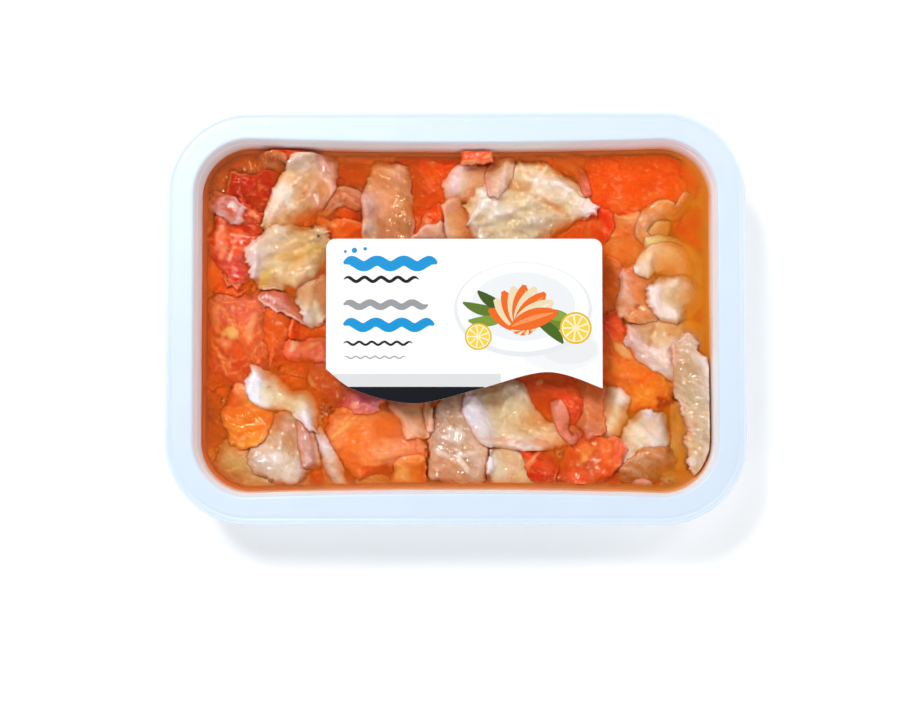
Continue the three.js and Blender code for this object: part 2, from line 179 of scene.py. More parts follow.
SLICES = [
    fish("salmon_left_band", [[-81, -26], [-79, -33], [-77, -40]], [4, 7, 5], 2.5,
         "8B3E1D A25032 B26942", fat=0.1, swell=0.3),
    fish("salmon_top_bit", [[-60, 55.5], [-54, 55.8], [-48, 56.5]], [3, 6, 3], 3,
         "FC5E1A FE530F FC5912", rise=7, fat=0.25, rag=0.5,
         marks=[(-56, 53, 4.5, 0.8, -22, "F0B49A", 0.8, 0.3)]),
    fish("salmon_foot", [[29, -54], [36, -55], [43, -55]], [5, 6, 4], 2.5, "D54210 D9460D C53606",
         fat=0.3),
    fish("salmon_foot_right", [[50, -50], [57, -53], [66, -54]], [7, 8, 5], 2.5,
         "C42B03 B82F03 C8520C", fat=0.1),
    fish("white_foot", [[-32, -53], [-24, -54.5], [-15, -55.5]], [4, 5, 4], 2.5,
         "DAB056 DAA64C CD8F35", crease=0.2),
    fish("white_sunk_right", [[75, -28], [76, -38], [72, -47]], [8, 10, 8], 2.5,
         "E4CB9F E4D2B3 D3B471", crease=0.25),
    fish("salmon_corner", [[-80, 35], [-75, 46], [-58, 53]], [8, 12, 10], 2.5,
         "89392D A84C2D B7693A", fat=0.12, swell=0.4, rag=0.8,
         # its first mark, dark and sunk, is painted shade in the corner
         marks=[(-70, 47, 4, 3, 20, "6E1C02", 0.6, -0.3),
         (-75, 50, 3, 1.5, 40, "B8682E", 0.6, 0.2)]),
    fish("salmon_dusk", [[-74, 43], [-66, 42], [-57, 40]], [8, 13, 14], 3, "B12310 B82210 BF2910",
         fat=0.12, swell=0.3, rag=0.8, marks=[(-66, 47, 6, 1.2, 4, "BC3404", 0.6, 0)]),
    fish("salmon_valley", [[-7, 54], [-8, 43], [-10, 25]], [25, 17, 12], 3, "EA4F12 EA4912 F65512",
         sides=("F0621C", "CC4408"), fat=0.12, swell=0.5,
         # its first mark, dark and sunk, is painted shade; the small pale mark near its top is a
         # painted highlight
         marks=[(-14, 44, 2.5, 8, 0, "B83200", 0.8, -0.4),
         (-7.5, 52, 1, 0.6, 10, "FFB080", 0.9, 0.2), (-9, 31, 3, 2, 0, "F07A30", 0.5, 0.3)]),
    fish("salmon_amber", [[44, 45], [60, 45], [77, 47]], [17, 23, 14], 3, "FF5211 FF5E11 FF6311",
         # its first mark, pale and raised, is a painted highlight
         fat=0.12, fat_gap=5, swell=0.4, rag=0.8, marks=[(54, 38, 4, 3, 30, "FF8A60", 0.5, 0.5),
         (48.5, 38, 2.5, 3, 0, "F04418", 0.6, 0.3), (66, 41, 3, 1.5, 10, "FF8048", 0.5, 0.3),
         (75, 43, 1.5, 3, 0, "F28838", 0.5, 0.2), (70, 51, 8, 3, -10, "F05A04", 0.6, -0.2),
         (58, 47, 6, 3, 0, "FF6414", 0.5, 0.1)]),
    fish("salmon_arch", [[-36, 51], [-35, 40], [-35, 29]], [14, 14, 10], 2.5,
         "A92210 A21A10 C02A10", fat=0.12, swell=0.5,
         # its two dark sunk marks are painted shade, in a hollow and a hole
         marks=[(-34, 47, 5, 2.5, -12, "B42A02", 0.7, -0.3),
         (-40, 34, 2.2, 3, 0, "8A1200", 0.9, -0.6), (-36, 36, 3, 3, 0, "F06418", 0.7, 0.3)]),
    fish("white_low_corner", [[-77, -43], [-66, -50], [-49, -55]], [10, 14, 9], 3,
         "CEC592 D5D6AB E5FCD2", sides=("D8A878", "BC7C48"), crease=0.35, swell=0.6,
         marks=[(-66, -53, 4.5, 2, -12, "E2BC90", 0.7, 0.3),
         (-76, -42, 1.4, 3, 0, "D8A888", 0.6, 0.3), (-70, -45, 1.2, 1, 0, "E0C0A8", 0.7, 0.3)]),
    fish("salmon_left_sheet", [[-68, 8], [-69, -5], [-74, -21]], [24, 23, 14], 3.5,
         "CF7185 D86559 D35F46", fat=0.6, fat_gap=3.4, fat_turn=38, swell=0.6, rag=0.9,
         marks=[(-67, -3, 1.4, 4.8, 15, "F0A898", 0.85, 0.4),
         (-73.5, -4.5, 2.4, 1.9, -20, "F0C8A4", 0.9, 0.5),
         (-78.5, 0, 1.6, 5, -8, "E89884", 0.8, 0.5), (-76, -7.5, 3, 1.3, -25, "E89884", 0.7, 0.4),
         (-66, 5, 3, 1.6, 30, "F08468", 0.6, 0.4), (-70, -14, 2, 6, -25, "E0441A", 0.5, 0),
         (-60, 4, 4, 1.5, -30, "F07850", 0.6, 0.3)]),
    fish("salmon_left_fin", [[-83, 18], [-76, 15], [-69, 10]], [9, 11, 4], 3,
         "FF8C3A FC661E DF3B16", fat=0.35, fat_gap=2.4, fat_turn=75, swell=0.4),
    fish("salmon_crown", [[-69, 37], [-72, 27], [-70, 13]], [12, 18, 9], 4, "CF2810 D42D10 CB2410",
         fat=0.3, fat_gap=4, fat_turn=80, swell=0.7, rag=1.0, lip=0.3,
         # its pale streaks are painted highlights
         marks=[(-77, 28, 1.8, 5, 10, "F09C80", 0.55, 0.4),
         (-65.5, 34, 2.5, 1, -40, "F8A890", 0.7, 0.4),
         (-73.5, 21, 0.6, 3.2, 15, "F8B49C", 0.8, 0.5), (-66, 21, 0.7, 7, 0, "F88C60", 0.5, 0.3),
         (-71, 25, 2, 5, 5, "F85E1C", 0.5, 0.2), (-76, 22, 1, 3, 20, "F4A080", 0.6, 0.4)]),
    fish("white_lump", [[-79, 39], [-71, 35]], [6, 7], 2.5, "BC3F1A C55631", crease=0.4, swell=0.4,
         # its first mark is a painted highlight
         rag=1.1, marks=[(-72.5, 37, 2, 1.2, -40, "F8D0BC", 0.8, 0.3),
         (-77, 39, 2, 1, 30, "F0B098", 0.6, 0.2)]),
    fish("white_arch", [[-46, 35], [-37, 41], [-28, 36]], [4, 5, 4], 2.5, "C75B18 CB6820 C35816",
         crease=0.15),
    fish("salmon_nib", [[-45, 31], [-38, 29], [-29, 28]], [3, 7, 5], 2.5, "FF8443 FF702E FF5E1C",
         # its first mark is a painted highlight
         fat=0.3, swell=0.4, rag=0.7, marks=[(-41, 31.5, 2, 0.8, -20, "FFB49C", 0.8, 0.4),
         (-36, 27, 4, 1, -12, "FF8860", 0.6, 0.3)]),
    fish("salmon_slip", [[-9, 29], [-7, 33], [-5, 38]], [6, 7, 3], 2.5, "E95F27 F5520D F1500C",
         fat=0.1, marks=[(-9, 31, 1, 3, -20, "F0A080", 0.6, 0.3)]),
    fish("white_stave", [[-21, 51], [-22, 38], [-22, 18]], [11, 14, 15], 3, "E5AD91 EAB099 EAA78F",
         sides=("D08448", "DEB09A"), crease=0.15, swell=0.5, rag=0.5,
         # its first mark is a painted highlight
         marks=[(-27, 29, 1.8, 4, 0, "EACABC", 0.8, 0.4), (-17, 33, 2, 10, 4, "D08A50", 0.5, 0.2)]),
    fish("white_flake", [[-13, 26.5], [-4, 27.5], [4, 29]], [4, 6, 4], 2.5, "F0966E F9B991 FDC49B",
         crease=0.3, pebble=0.2, rag=0.8, marks=[(-2, 29.5, 2, 1, 10, "F09060", 0.6, 0),
         (2, 30, 0.8, 1.4, 0, "F4C8BC", 0.8, 0.3)]),
    fish("salmon_shoulder", [[57, 34], [56, 26], [57, 15]], [11, 13, 9], 3, "FFA78F FFA787 FF9748",
         # its first two marks are painted highlights
         fat=0.25, swell=0.6, rag=0.6, marks=[(53, 24, 1.4, 3.6, 25, "FFB8A0", 0.85, 0.5),
         (59, 22.5, 2.2, 1.8, 0, "FFA888", 0.7, 0.5), (56, 29, 4, 2, 20, "FF7A48", 0.6, 0.4)]),
    fish("salmon_grain", [[35, 25], [42, 28], [50, 34]], [6, 9, 9], 2.5, "FF592A FF441D FE3E1D",
         fat=0.3, pebble=0.3, swell=0.3, rag=0.6,
         # its two pale marks are painted highlights
         marks=[(43.5, 30, 0.9, 4, -10, "EC8874", 0.7, 0.4),
         (38, 27.5, 1, 2.5, 40, "F07050", 0.6, 0.3)]),
    fish("salmon_leaf", [[49, 19], [53, 11], [49, -2]], [5, 8, 5], 3, "FF8D62 FF985D FFB3B3",
         fat=0.0, swell=0.2, lip=0.6, marks=[(53.6, 12, 1.4, 7, 0, "E88C74", 0.9, 0.3),
         (51, 1, 1.6, 4, -35, "E88870", 0.9, 0.3)]),
    fish("salmon_right_sheet", [[50, 1], [55, -12], [62, -20], [71, -24]], [9, 15, 19, 12], 3.5,
         "F94626 FF874B FF9B3F FF9637", fat=0.3, fat_gap=3.0, fat_turn=60, swell=0.6, rag=0.6,
         # its first mark is a painted highlight, and its last, dark and sunk, painted shade in a
         # gap
         marks=[(55, -10.5, 1.4, 3.4, -50, "FFD0B8", 0.75, 0.6),
         (57, -3, 2, 4, 20, "E86040", 0.6, 0.3), (52, -22, 2.5, 3, 0, "F4824A", 0.6, 0.2),
         (62, -17, 6, 2, -10, "FF7C18", 0.5, 0.3), (69, -28, 3.2, 2.6, -20, "9A1C02", 0.9, -0.8)]),
    fish("white_heel", [[53, -24], [50, -38]], [8, 7], 3, "FFFFFF FFFFFF",
         sides=("E0B088", "DCC8D0"), crease=0.15, swell=0.4, lip=0.3),
    fish("white_right_sheet", [[57, -3], [67, -7], [79, -13]], [9, 19, 19], 3,
         "EBBFA9 F1D5BD EBD5B7", crease=0.6, pebble=0.25, swell=0.7, rag=0.6,
         folds=[(0.25, 2.2, 0.7), (-0.35, 1.8, 0.6)],
         # its first mark, darker and sunk, is painted shade, and the two pale raised marks after it
         # are painted highlights
         marks=[(64, -6, 0.7, 4, 15, "D09070", 0.7, -0.3), (71, -11, 2, 3, 0, "F0DCC4", 0.7, 0.5),
         (67, -5, 3, 1.4, 10, "EED8C4", 0.7, 0.4), (59, -7, 2, 3, 0, "E0BCA8", 0.6, 0.3)]),
    fish("white_petal", [[66, -31], [62, -38], [54, -47]], [7, 14, 5], 3.5, "EBE7FE EDF0FF EBE9F9",
         crease=0.2, swell=0.7, lip=0.4, folds=[(0.5, 2.4, 0.6)],
         marks=[(64, -35, 3.5, 1.8, -50, "EED8CC", 0.6, 0.4)]),
    fish("white_sunk_foot", [[55, -50], [62, -48], [70, -45]], [5, 9, 6], 2, "D08139 CC812F C47326",
         crease=0.3, swell=0.3),
    fish("salmon_bow", [[48, -38], [45, -46], [37, -54]], [13, 17, 10], 4, "E5632F E85F1F DF4F1D",
         # its first and last marks are painted highlights
         fat=0.25, swell=0.7, rag=0.8, marks=[(42.5, -43, 2.8, 2.2, 40, "FFB488", 0.6, 0.5),
         (49, -43, 2, 4, -10, "FF8A58", 0.6, 0.3), (42, -45.5, 1.5, 1, 30, "FFD4B4", 0.7, 0.4)]),
    fish("white_foot_bit", [[58, -55], [61, -54], [64, -54.5]], [2.4, 3.4, 2.4], 2.5,
         "AF4728 CD816D B65F3C", rag=0.4),
    fish("salmon_smooth", [[44, -20], [44, -30], [46, -38]], [8, 9, 7], 2.5, "D38898 D796A0 CF8280",
         fat=0.05, swell=0.3),
    fish("salmon_deep", [[20, -18], [31, -23], [38, -32]], [7, 14, 10], 3, "FD7292 F2554C E74B33",
         # its dark sunk mark is painted shade in its hollow, and its two last marks are painted
         # highlights
         fat=0.2, swell=0.6, marks=[(30, -21.5, 8, 1.6, -6, "E46450", 0.6, 0.5),
         (29, -27.5, 4, 3, 0, "C42804", 0.9, -0.9), (35, -24.5, 3, 1, 8, "EC5028", 0.7, 0.5),
         (27.5, -20.5, 1, 1, 0, "FFC8B8", 0.9, 0.3), (22, -23, 1.5, 1, 0, "FFB8A0", 0.7, 0.3)]),
    fish("white_grey", [[-1, -25], [1, -38], [1, -53]], [9, 17, 17], 3, "BF926A CAA678 BF8244",
         rise=3.5, sides=("E0C098", "D8B090"), crease=0.35, swell=0.7, rag=0.6,
         # its first mark is a painted highlight
         marks=[(0, -38, 3, 2.6, 0, "F0E0CC", 0.6, 0.5), (-4, -48, 4, 3, 0, "D49058", 0.6, -0.2),
         (3, -48, 1, 3.5, -35, "F4E0C4", 0.7, 0.6), (4, -44, 4, 0.7, 8, "F4DCC8", 0.7, 0.4),
         (-5, -43.5, 3.5, 0.7, -28, "F0D8C0", 0.6, 0.4)]),
    fish("white_rose", [[15, -42], [18, -49], [24, -57]], [9, 14, 10], 3, "F2FFFF F4FFFF ECFFFF",
         crease=0.15, swell=0.6, marks=[(17, -47, 3.5, 2.4, -40, "EEDCDA", 0.5, 0.4),
         (18, -52, 3, 1, -20, "F0E0DC", 0.5, 0.3)]),
    fish("salmon_fold", [[22, -41], [27, -46], [31, -55]], [4, 9, 5], 3, "DA3C12 D53312 CC2E12",
         fat=0.3, swell=0.4, rag=0.4, marks=[(25, -46, 0.8, 5.5, 38, "F0A088", 0.85, 0.6),
         (30, -48, 2, 3, 0, "E86A48", 0.6, 0.4)]),
    fish("salmon_front_block", [[-41, -36], [-27, -38.5], [-11, -44]], [14, 24, 6], 4,
         "FFA08E FF956D FFA9B9", fat=0.35, fat_gap=4.2, fat_turn=70, swell=0.9, rag=1.1,
         # its palest raised marks are painted highlights
         marks=[(-28, -37, 3.4, 3.4, 0, "FA9068", 0.75, 0.5),
         (-34, -40, 3, 5, 20, "FF7E20", 0.7, 0.2), (-22, -32, 2, 4, 15, "FC9860", 0.6, 0.3),
         (-37, -36, 0.8, 5, 50, "FFC8A0", 0.6, 0.4), (-16, -44, 4, 2, -10, "FC8C60", 0.6, 0.4),
         (-24, -44, 1, 4, 20, "FFB088", 0.6, 0.3), (-26, -49, 6, 1.4, 6, "EC6414", 0.6, 0)]),
    fish("salmon_front_small", [[-20, -49], [-10, -50]], [7, 11], 3, "FFA471 FF9124", fat=0.2,
         swell=0.4, marks=[(-18, -51, 3, 2, 0, "F8C090", 0.6, 0.4)]),
    fish("white_tab", [[-15, -24], [-12, -39]], [13, 7], 2.5, "FFBDA0 FFCDAE", crease=0.1,
         swell=0.4, marks=[(-16.5, -34.5, 2.5, 1.2, -40, "ECB498", 0.7, 0.3)]),
    fish("white_sliver", [[-8.4, -26], [-8.8, -31], [-8.2, -36]], [1.8, 2.4, 1.6], 2,
         "FDBA82 FFC691 F79E65", rag=0.3),
    fish("white_gloss", [[-55, -31], [-56, -41], [-58, -52]], [9, 17, 17], 3.5,
         "CFA292 D7C9BE D7C9A3", crease=0.7, pebble=0.2, swell=0.8, rag=0.9,
         folds=[(-0.15, 1.6, 0.8), (0.4, 1.4, 0.6)],
         # its palest marks are painted highlights
         marks=[(-57, -45, 3.4, 2, 0, "F4E6D0", 0.6, 0.5),
         (-55, -35, 3, 1.6, -10, "ECB8B0", 0.7, 0.5), (-58, -39, 1.6, 3, -10, "ECD4CC", 0.6, 0.4),
         (-52, -41, 1, 5, 15, "D8A09C", 0.6, 0.3), (-50.5, -47, 1, 3, 5, "ECD8D0", 0.6, 0.4),
         (-60, -53, 5, 2, -8, "E0B888", 0.6, 0.3)]),
    fish("salmon_lattice", [[-70, -22], [-69, -31], [-69, -41]], [9, 14, 10], 3.5,
         "F78851 FF973C FFAB4C", fat=0.95, fat_gap=2.6, fat_turn=65, swell=0.6, rag=0.6,
         marks=[(-67, -23.5, 1.6, 2.4, 20, "FCB080", 0.7, 0.4),
         (-63.5, -34, 1.2, 4, 0, "F28A28", 0.7, 0), (-72, -27, 2.4, 2, 0, "F06440", 0.6, 0.3)]),
    fish("salmon_dark_tuft", [[-46, -16], [-38, -23], [-26, -28]], [10, 11, 6], 3,
         "D26A8F CE5074 E07AA9", fat=0.35, fat_gap=2.4, pebble=0.45, swell=0.5, rag=0.9,
         marks=[(-47.3, -21, 1.1, 3.2, -18, "E8D4E0", 0.9, 0.6),
         # the next mark, dark and sunk, is painted shade
         (-39, -27.5, 2, 1.6, 0, "B02018", 0.6, -0.3),
         (-32.5, -28, 1.6, 1.3, 0, "F0B0A8", 0.7, 0.4)]),
    fish("salmon_tuft", [[-56, 1], [-57, -14]], [9, 10], 2.5, "EA6928 D64C1D", fat=0.3, pebble=0.5,
         swell=0.4, rag=0.9),
    fish("salmon_tile", [[-53, -3], [-34, -3]], [7, 8], 3, "FF5710 FF7110", fat=0.05, swell=0.25,
         # its first mark, dark and sunk, is painted shade
         rag=0.3, marks=[(-52, -3, 1, 3.6, 10, "C83808", 0.6, -0.2),
         (-46, -1.5, 4, 2, 0, "FF7420", 0.7, 0.2)]),
    fish("salmon_fringe", [[-55, -10], [-38, -10]], [7, 8], 2.5, "F56B5D FD8EB9", fat=0.5,
         fat_gap=2.6, pebble=0.35, swell=0.5, rag=0.8,
         # its first two marks are painted highlights, and its last, dark and sunk, painted shade
         marks=[(-52.5, -8, 1.2, 2.4, 30, "F8C0B4", 0.85, 0.5),
         (-47, -8.5, 2.4, 0.8, 25, "F4A898", 0.8, 0.5),
         (-48, -12.6, 3.5, 0.6, -8, "F4A090", 0.7, 0.4), (-50, -15, 4, 1, 0, "C03010", 0.6, -0.2)]),
    fish("white_tongue", [[-63, 8], [-56, 6], [-49, 0]], [4, 7, 4], 2.5, "D56444 D26848 CE6C4D",
         crease=0.2, swell=0.4, lip=0.3),
    fish("white_veil", [[-50, 15], [-46, 7], [-45, -1]], [8, 10, 6], 2.5, "F5FFFF FFFFFF FFFFFF",
         crease=0.4, swell=0.6, folds=[(0.1, 1.6, 0.7), (-0.55, 1.4, 0.6)],
         marks=[(-52.5, 8, 1.2, 3.4, 25, "E0C0B4", 0.8, 0.5),
         (-47, 9, 0.8, 7, 12, "E8D4C4", 0.7, 0.5)]),
    fish("white_blade", [[-45, 56], [-49, 44], [-61, 29]], [11, 16, 8], 3.5, "D5B78E D5AF88 D5A964",
         # its sides, darker and pinkish on the right and pale cream on the left, are partly its own
         # colour and partly painted light from the upper left; its darker sunk marks are painted
         # shade
         sides=("DC9878", "F4E8CC"), crease=0.12, swell=0.5, rag=0.4, folds=[(-0.35, 1.8, 1.2),
         (0.25, 1.4, 0.9)], marks=[(-43.5, 51.5, 2, 2.4, -30, "D88A74", 0.6, 0.2),
         (-47, 40, 1.0, 6, -38, "E8A890", 0.7, 0.5), (-43, 42, 2, 4, -25, "D88A30", 0.7, -0.2),
         (-56, 41, 2.2, 6, -35, "F4EAD0", 0.6, 0.3),
         (-50, 34.5, 3.2, 0.8, 38, "D8844C", 0.6, -0.2)]),
    fish("white_yellow", [[-66, 17], [-55, 21], [-42, 26]], [14, 21, 7], 3.5,
         "E3CAAE DFC392 DCBC87", crease=0.3, pebble=0.25, swell=0.6, rag=0.9, lip=0.2,
         folds=[(0.35, 1.6, 1.0), (-0.4, 1.6, 0.8), (0.0, 1.2, 0.6)],
         marks=[(-66, 18, 1.6, 7, 12, "E4D0C8", 0.8, 0.4),
         (-58, 18, 4.5, 2.6, 10, "F2E6C0", 0.6, 0.4), (-54, 20.6, 6, 1.3, 4, "DCB45C", 0.7, 0),
         (-62.5, 13.5, 1.4, 3, 20, "EACC60", 0.7, 0.2), (-47, 23, 3, 2, 15, "E8C874", 0.7, 0.3),
         (-51, 31, 5, 1.8, 8, "D8A868", 0.6, 0), (-48, 30, 3.4, 0.5, -18, "F4E0C8", 0.8, 0.5),
         (-45, 27.4, 0.55, 0.5, 0, "2E3020", 1, 0.2), (-55, 26.5, 6, 1.2, 8, "DCCAA8", 0.6, 0.2),
         (-66, 11, 1.2, 2.4, 30, "ECDCC8", 0.8, 0.4)]),
    fish("white_left_lobe", [[-3, 41], [4, 45], [13, 46]], [6, 11, 10], 2.5, "ECBBB0 F9E2DF F5E2D6",
         crease=0.25, pebble=0.4, swell=0.5, rag=0.5,
         # its first mark is a painted highlight
         marks=[(2, 44, 3, 2.2, 20, "F4E4DC", 0.6, 0.4), (-1, 42, 1.4, 2, 20, "E8C8D0", 0.6, 0.2)]),
    fish("white_tan_lobe", [[-1, 38], [3, 26]], [7, 9], 2.5, "FFC798 FFAF69", crease=0.1, swell=0.4,
         marks=[(-1, 37, 2, 2, 0, "E8A898", 0.7, 0.2)]),
    fish("white_cloud", [[6, 30], [18, 35], [31, 39], [45, 35.5]], [16, 25, 23, 2.5], 4,
         "F2E5C6 F4EFDC F6EFDC FCEFE1", crease=0.7, pebble=0.45, swell=0.9, rag=0.9, lip=0.2,
         folds=[(0.5, 1.8, 1.2), (-0.35, 2.0, 0.9), (0.05, 1.4, 0.6)],
         # its palest raised marks are painted highlights, and its darker sunk marks painted shade
         # in its creases
         marks=[(21, 44, 5, 2, 0, "DCAA78", 0.7, -0.8),
         (28.5, 48.5, 1.0, 4, 38, "F4EAD8", 0.8, 0.8), (8, 33, 2.6, 2, 20, "EED8A8", 0.7, 0.5),
         (6, 27.5, 1.6, 3, 10, "DCA468", 0.7, -0.2), (17, 36.5, 2.6, 2, 0, "FAF2E4", 0.7, 0.5),
         (30, 38.5, 5.5, 0.8, -26, "E0AC80", 0.7, -0.5), (34, 36, 5, 0.8, -38, "E8B490", 0.6, -0.3),
         (31, 32, 4, 2.4, 30, "F2E4D0", 0.6, 0.4), (10, 28.5, 2, 1.4, 0, "F4E0B8", 0.7, 0.5),
         (29, 27, 5, 1.2, 28, "E09060", 0.6, 0), (36, 45, 4, 2, -40, "F2E4CC", 0.5, 0.4),
         (14, 40, 3, 1.2, -10, "E8C09A", 0.6, -0.3)]),
    fish("white_shard", [[18, 55.5], [15, 48], [13, 41]], [3, 8, 4], 2.5, "F8D4AA F0C79E EBBB8C",
         sides=("DCC4AC", "E49480"), crease=0.15, swell=0.3, folds=[(0.0, 1.6, 0.6)]),
    fish("salmon_peak", [[2, 53.5], [12, 54]], [7, 4], 3, "F2590C F45409", rise=8.5, fat=0.05,
         swell=0.25, rag=0.3, marks=[(3.5, 50.6, 3.6, 0.9, 12, "F4A88C", 0.85, 0.2),
         (11, 53, 2.4, 0.5, 22, "F8B49C", 0.7, 0.2)]),
    fish("salmon_ring", [[34, 53], [40, 49.5], [43.5, 41]], [2.2, 2.6, 2.2], 1.2,
         "E0AFC1 D88FA8 D47E90", rag=0.2),
    fish("white_tan", [[58, 17], [60, 9], [60, 0]], [9, 12, 11], 3, "ED7B31 E98441 E9995E",
         sides=("E4944C", "E8A880"), crease=0.15, swell=0.5,
         # its darker sunk marks are painted shade
         marks=[(59.5, 4.5, 0.8, 1.2, 40, "B8502C", 0.8, -0.3),
         (64.5, 9, 1.4, 4, 0, "DC6A1C", 0.7, -0.3), (58, 12, 0.9, 1.2, 0, "D87838", 0.6, -0.1)]),
    fish("white_disc", [[62, 31], [69, 28.5]], [7, 8], 2, "FFDDA9 FFE6B8", swell=0.3, rag=0.2,
         marks=[(66.5, 29, 1.8, 1.2, -40, "F8C49C", 0.8, 0.3)]),
    fish("white_curl", [[76, 41], [73, 36], [68, 36.5], [63, 33.5], [61, 28.5], [65, 25]],
         [3, 4, 5, 4, 3, 2.5], 1.1, "FF9444 FF9C4B FFA35C FF9C4B FF8939", swell=0.2, rag=0.3),
    fish("white_band", [[63, 24], [72, 24], [77, 20], [79.5, 12]], [5, 6, 5.5, 5], 1.2,
         "FFEB9D FFFEDF FFFFFF FFFFFF", rag=0.3),
    fish("white_hook", [[61, 15], [64, 19.5], [71, 19.5], [75, 14]], [5, 8, 9, 7], 1.8,
         "FFECD3 FFE7CE FFD1A8 FFBF8E", swell=0.4, rag=0.3,
         marks=[(63, 19, 1.8, 1.2, 40, "F8DCC8", 0.8, 0.4)]),
    fish("white_knuckle", [[65, 6], [72, 7.5], [79, 9]], [10, 14, 11], 3.5, "EFDFCD EDDBC0 EBC59E",
         crease=0.5, swell=0.7, rag=0.9, folds=[(0.3, 1.6, 0.7)],
         # its first mark is a painted highlight, and its two darker sunk marks painted shade
         marks=[(71, 12.5, 2, 1.6, 0, "F8E8DC", 0.8, 0.6),
         (77, 3.5, 2.4, 1.8, 20, "DC8448", 0.7, -0.4), (75.5, 17, 1, 0.8, 0, "C46A24", 0.7, -0.3),
         (66, 5, 1, 3, 0, "F0D8CC", 0.6, 0.3)]),
    fish("white_ragged", [[75, -7], [78, -22], [81, -36], [78, -49]], [8, 13, 11, 6], 3,
         "D0AB7D D0B582 D0B887 CCAE79", rise=7, sides=("F0E8D8", "D0A468"), crease=0.4, pebble=0.6,
         swell=0.4, rag=1.2, marks=[(76, -47, 2, 2, 0, "F4E8D8", 0.7, 0.3),
         (81.5, -47, 2, 0.6, 40, "B86A24", 0.8, 0), (83, -33, 1, 6, 0, "F4EEDC", 0.6, 0.3)]),
    fish("white_big_slice", [[4, -25], [14, -30], [26, -37], [38, -39]], [10, 21, 10, 3], 3.5,
         "ECEEF4 E9E4D2 EEE0CE EEC6B0", crease=0.3, pebble=0.3, swell=0.6, rag=0.4, lip=0.3,
         # its first three marks are painted highlights
         marks=[(6, -28, 2.4, 2.6, 0, "F4ECE4", 0.7, 0.4), (16, -29, 1, 3, 20, "FAF0E0", 0.7, 0.4),
         (20, -32, 1, 2.4, -20, "F8ECDC", 0.6, 0.4), (16, -39.5, 7, 0.9, -4, "E8A880", 0.6, 0),
         (28, -40.5, 4, 1.2, -14, "EC9068", 0.6, 0), (25, -33, 1, 4, -30, "F0DCA8", 0.5, 0.2)]),
    fish("salmon_curl",
         [[33, -27], [34.5, -32], [35.5, -36.5], [38, -39.5], [39.8, -37.5], [38, -35.5]],
         [3.5, 4.5, 2.6, 1.8, 1.6, 1.4], 1.2, "E599B9 E593B3 E59DC0 E185A2 E5AECF", rag=0.15,
         swell=0.1),
    fish("white_strip_small", [[-42, -49], [-41, -53], [-40, -57]], [2.4, 3.4, 3], 2.5,
         "E4C9A3 E7D5B7 DCB987", rag=0.3),
    fish("white_strip_long", [[-46, -36], [-41.5, -45], [-36, -56]], [3, 5, 4], 3,
         "DDD0E9 E1E6FF DDDDF5", crease=0.5, swell=0.3, rag=0.9),
    fish("white_strip_short", [[-50, -33], [-48, -40], [-47, -48]], [3, 4, 4.5], 3,
         "C47A6A C89080 CFA797", crease=0.5, swell=0.3, rag=0.9),
    fish("white_folded", [[-67, -18], [-62, -23], [-54, -26.5], [-49.5, -28], [-47, -36]],
         [4, 10, 5, 9, 3], 3, "ECF1F4 F2FFFF E6E8E6", crease=0.15, swell=0.5, rag=0.8, round=0.0,
         folds=[(0.2, 2.0, 0.7)], marks=[(-64, -16.5, 1.4, 4, -40, "F0C0B0", 0.8, 0.4),
         (-59, -28, 4, 1, 0, "FAF4EC", 0.7, 0.4), (-61, -22, 0.8, 0.5, 0, "E8A878", 0.7, 0),
         (-50, -28, 3, 4, 20, "ECD6B4", 0.5, 0.2)]),
]


# ---- smooth fields and curves ----

LATTICE = np.random.default_rng(11).random((256, 256)) * 2 - 1


def noise(x, y, size, seed=0):
    """A smooth random field from -1 to 1.

    Random numbers stand at the corners of squares of that size. Between them the field runs by
    t*t*t*(t*(6t-15)+10), where t is the share of the way from one corner to the next.
    """
    px = x / size + 37.7 * seed
    py = y / size + 91.3 * seed
    i = np.floor(px).astype(int)
    j = np.floor(py).astype(int)
    tx, ty = (t * t * t * (t * (6 * t - 15) + 10) for t in (px - i, py - j))
    at = [LATTICE[(i + a) % 256, (j + b) % 256] for a in (0, 1) for b in (0, 1)]
    low = at[0] * (1 - ty) + at[1] * ty
    high = at[2] * (1 - ty) + at[3] * ty
    return low * (1 - tx) + high * tx


def clouds(x, y, size, seed=0, layers=3):
    """Noise with finer noise on it: each layer has half the size and half the height."""
    total = sum(noise(x, y, size / 2 ** k, seed + 5 * k) / 2 ** k for k in range(layers))
    return total / sum(1 / 2 ** k for k in range(layers))


def creases(x, y, size, seed=0):
    """Sharp winding ridges from 0 to 1: one less the size of a noise whose places are warped."""
    wx = x + size * 0.6 * noise(x, y, size * 1.3, seed + 1)
    wy = y + size * 0.6 * noise(x, y, size * 1.3, seed + 2)
    return (1 - np.abs(noise(wx, wy, size, seed))) ** 3


def ease(t):
    """A smooth step from 0 to 1 as t goes from 0 to 1."""
    t = np.clip(t, 0, 1)
    return t * t * (3 - 2 * t)


def blend(colour, other, share):
    """A colour carried that share of the way to another, at each place."""
    return colour + (other - colour) * share[..., None]


def turned(x, y, degrees):
    """A place's way along and across a direction that is turned that far from x."""
    turn = math.radians(degrees)
    return (x * math.cos(turn) + y * math.sin(turn), -x * math.sin(turn) + y * math.cos(turn))


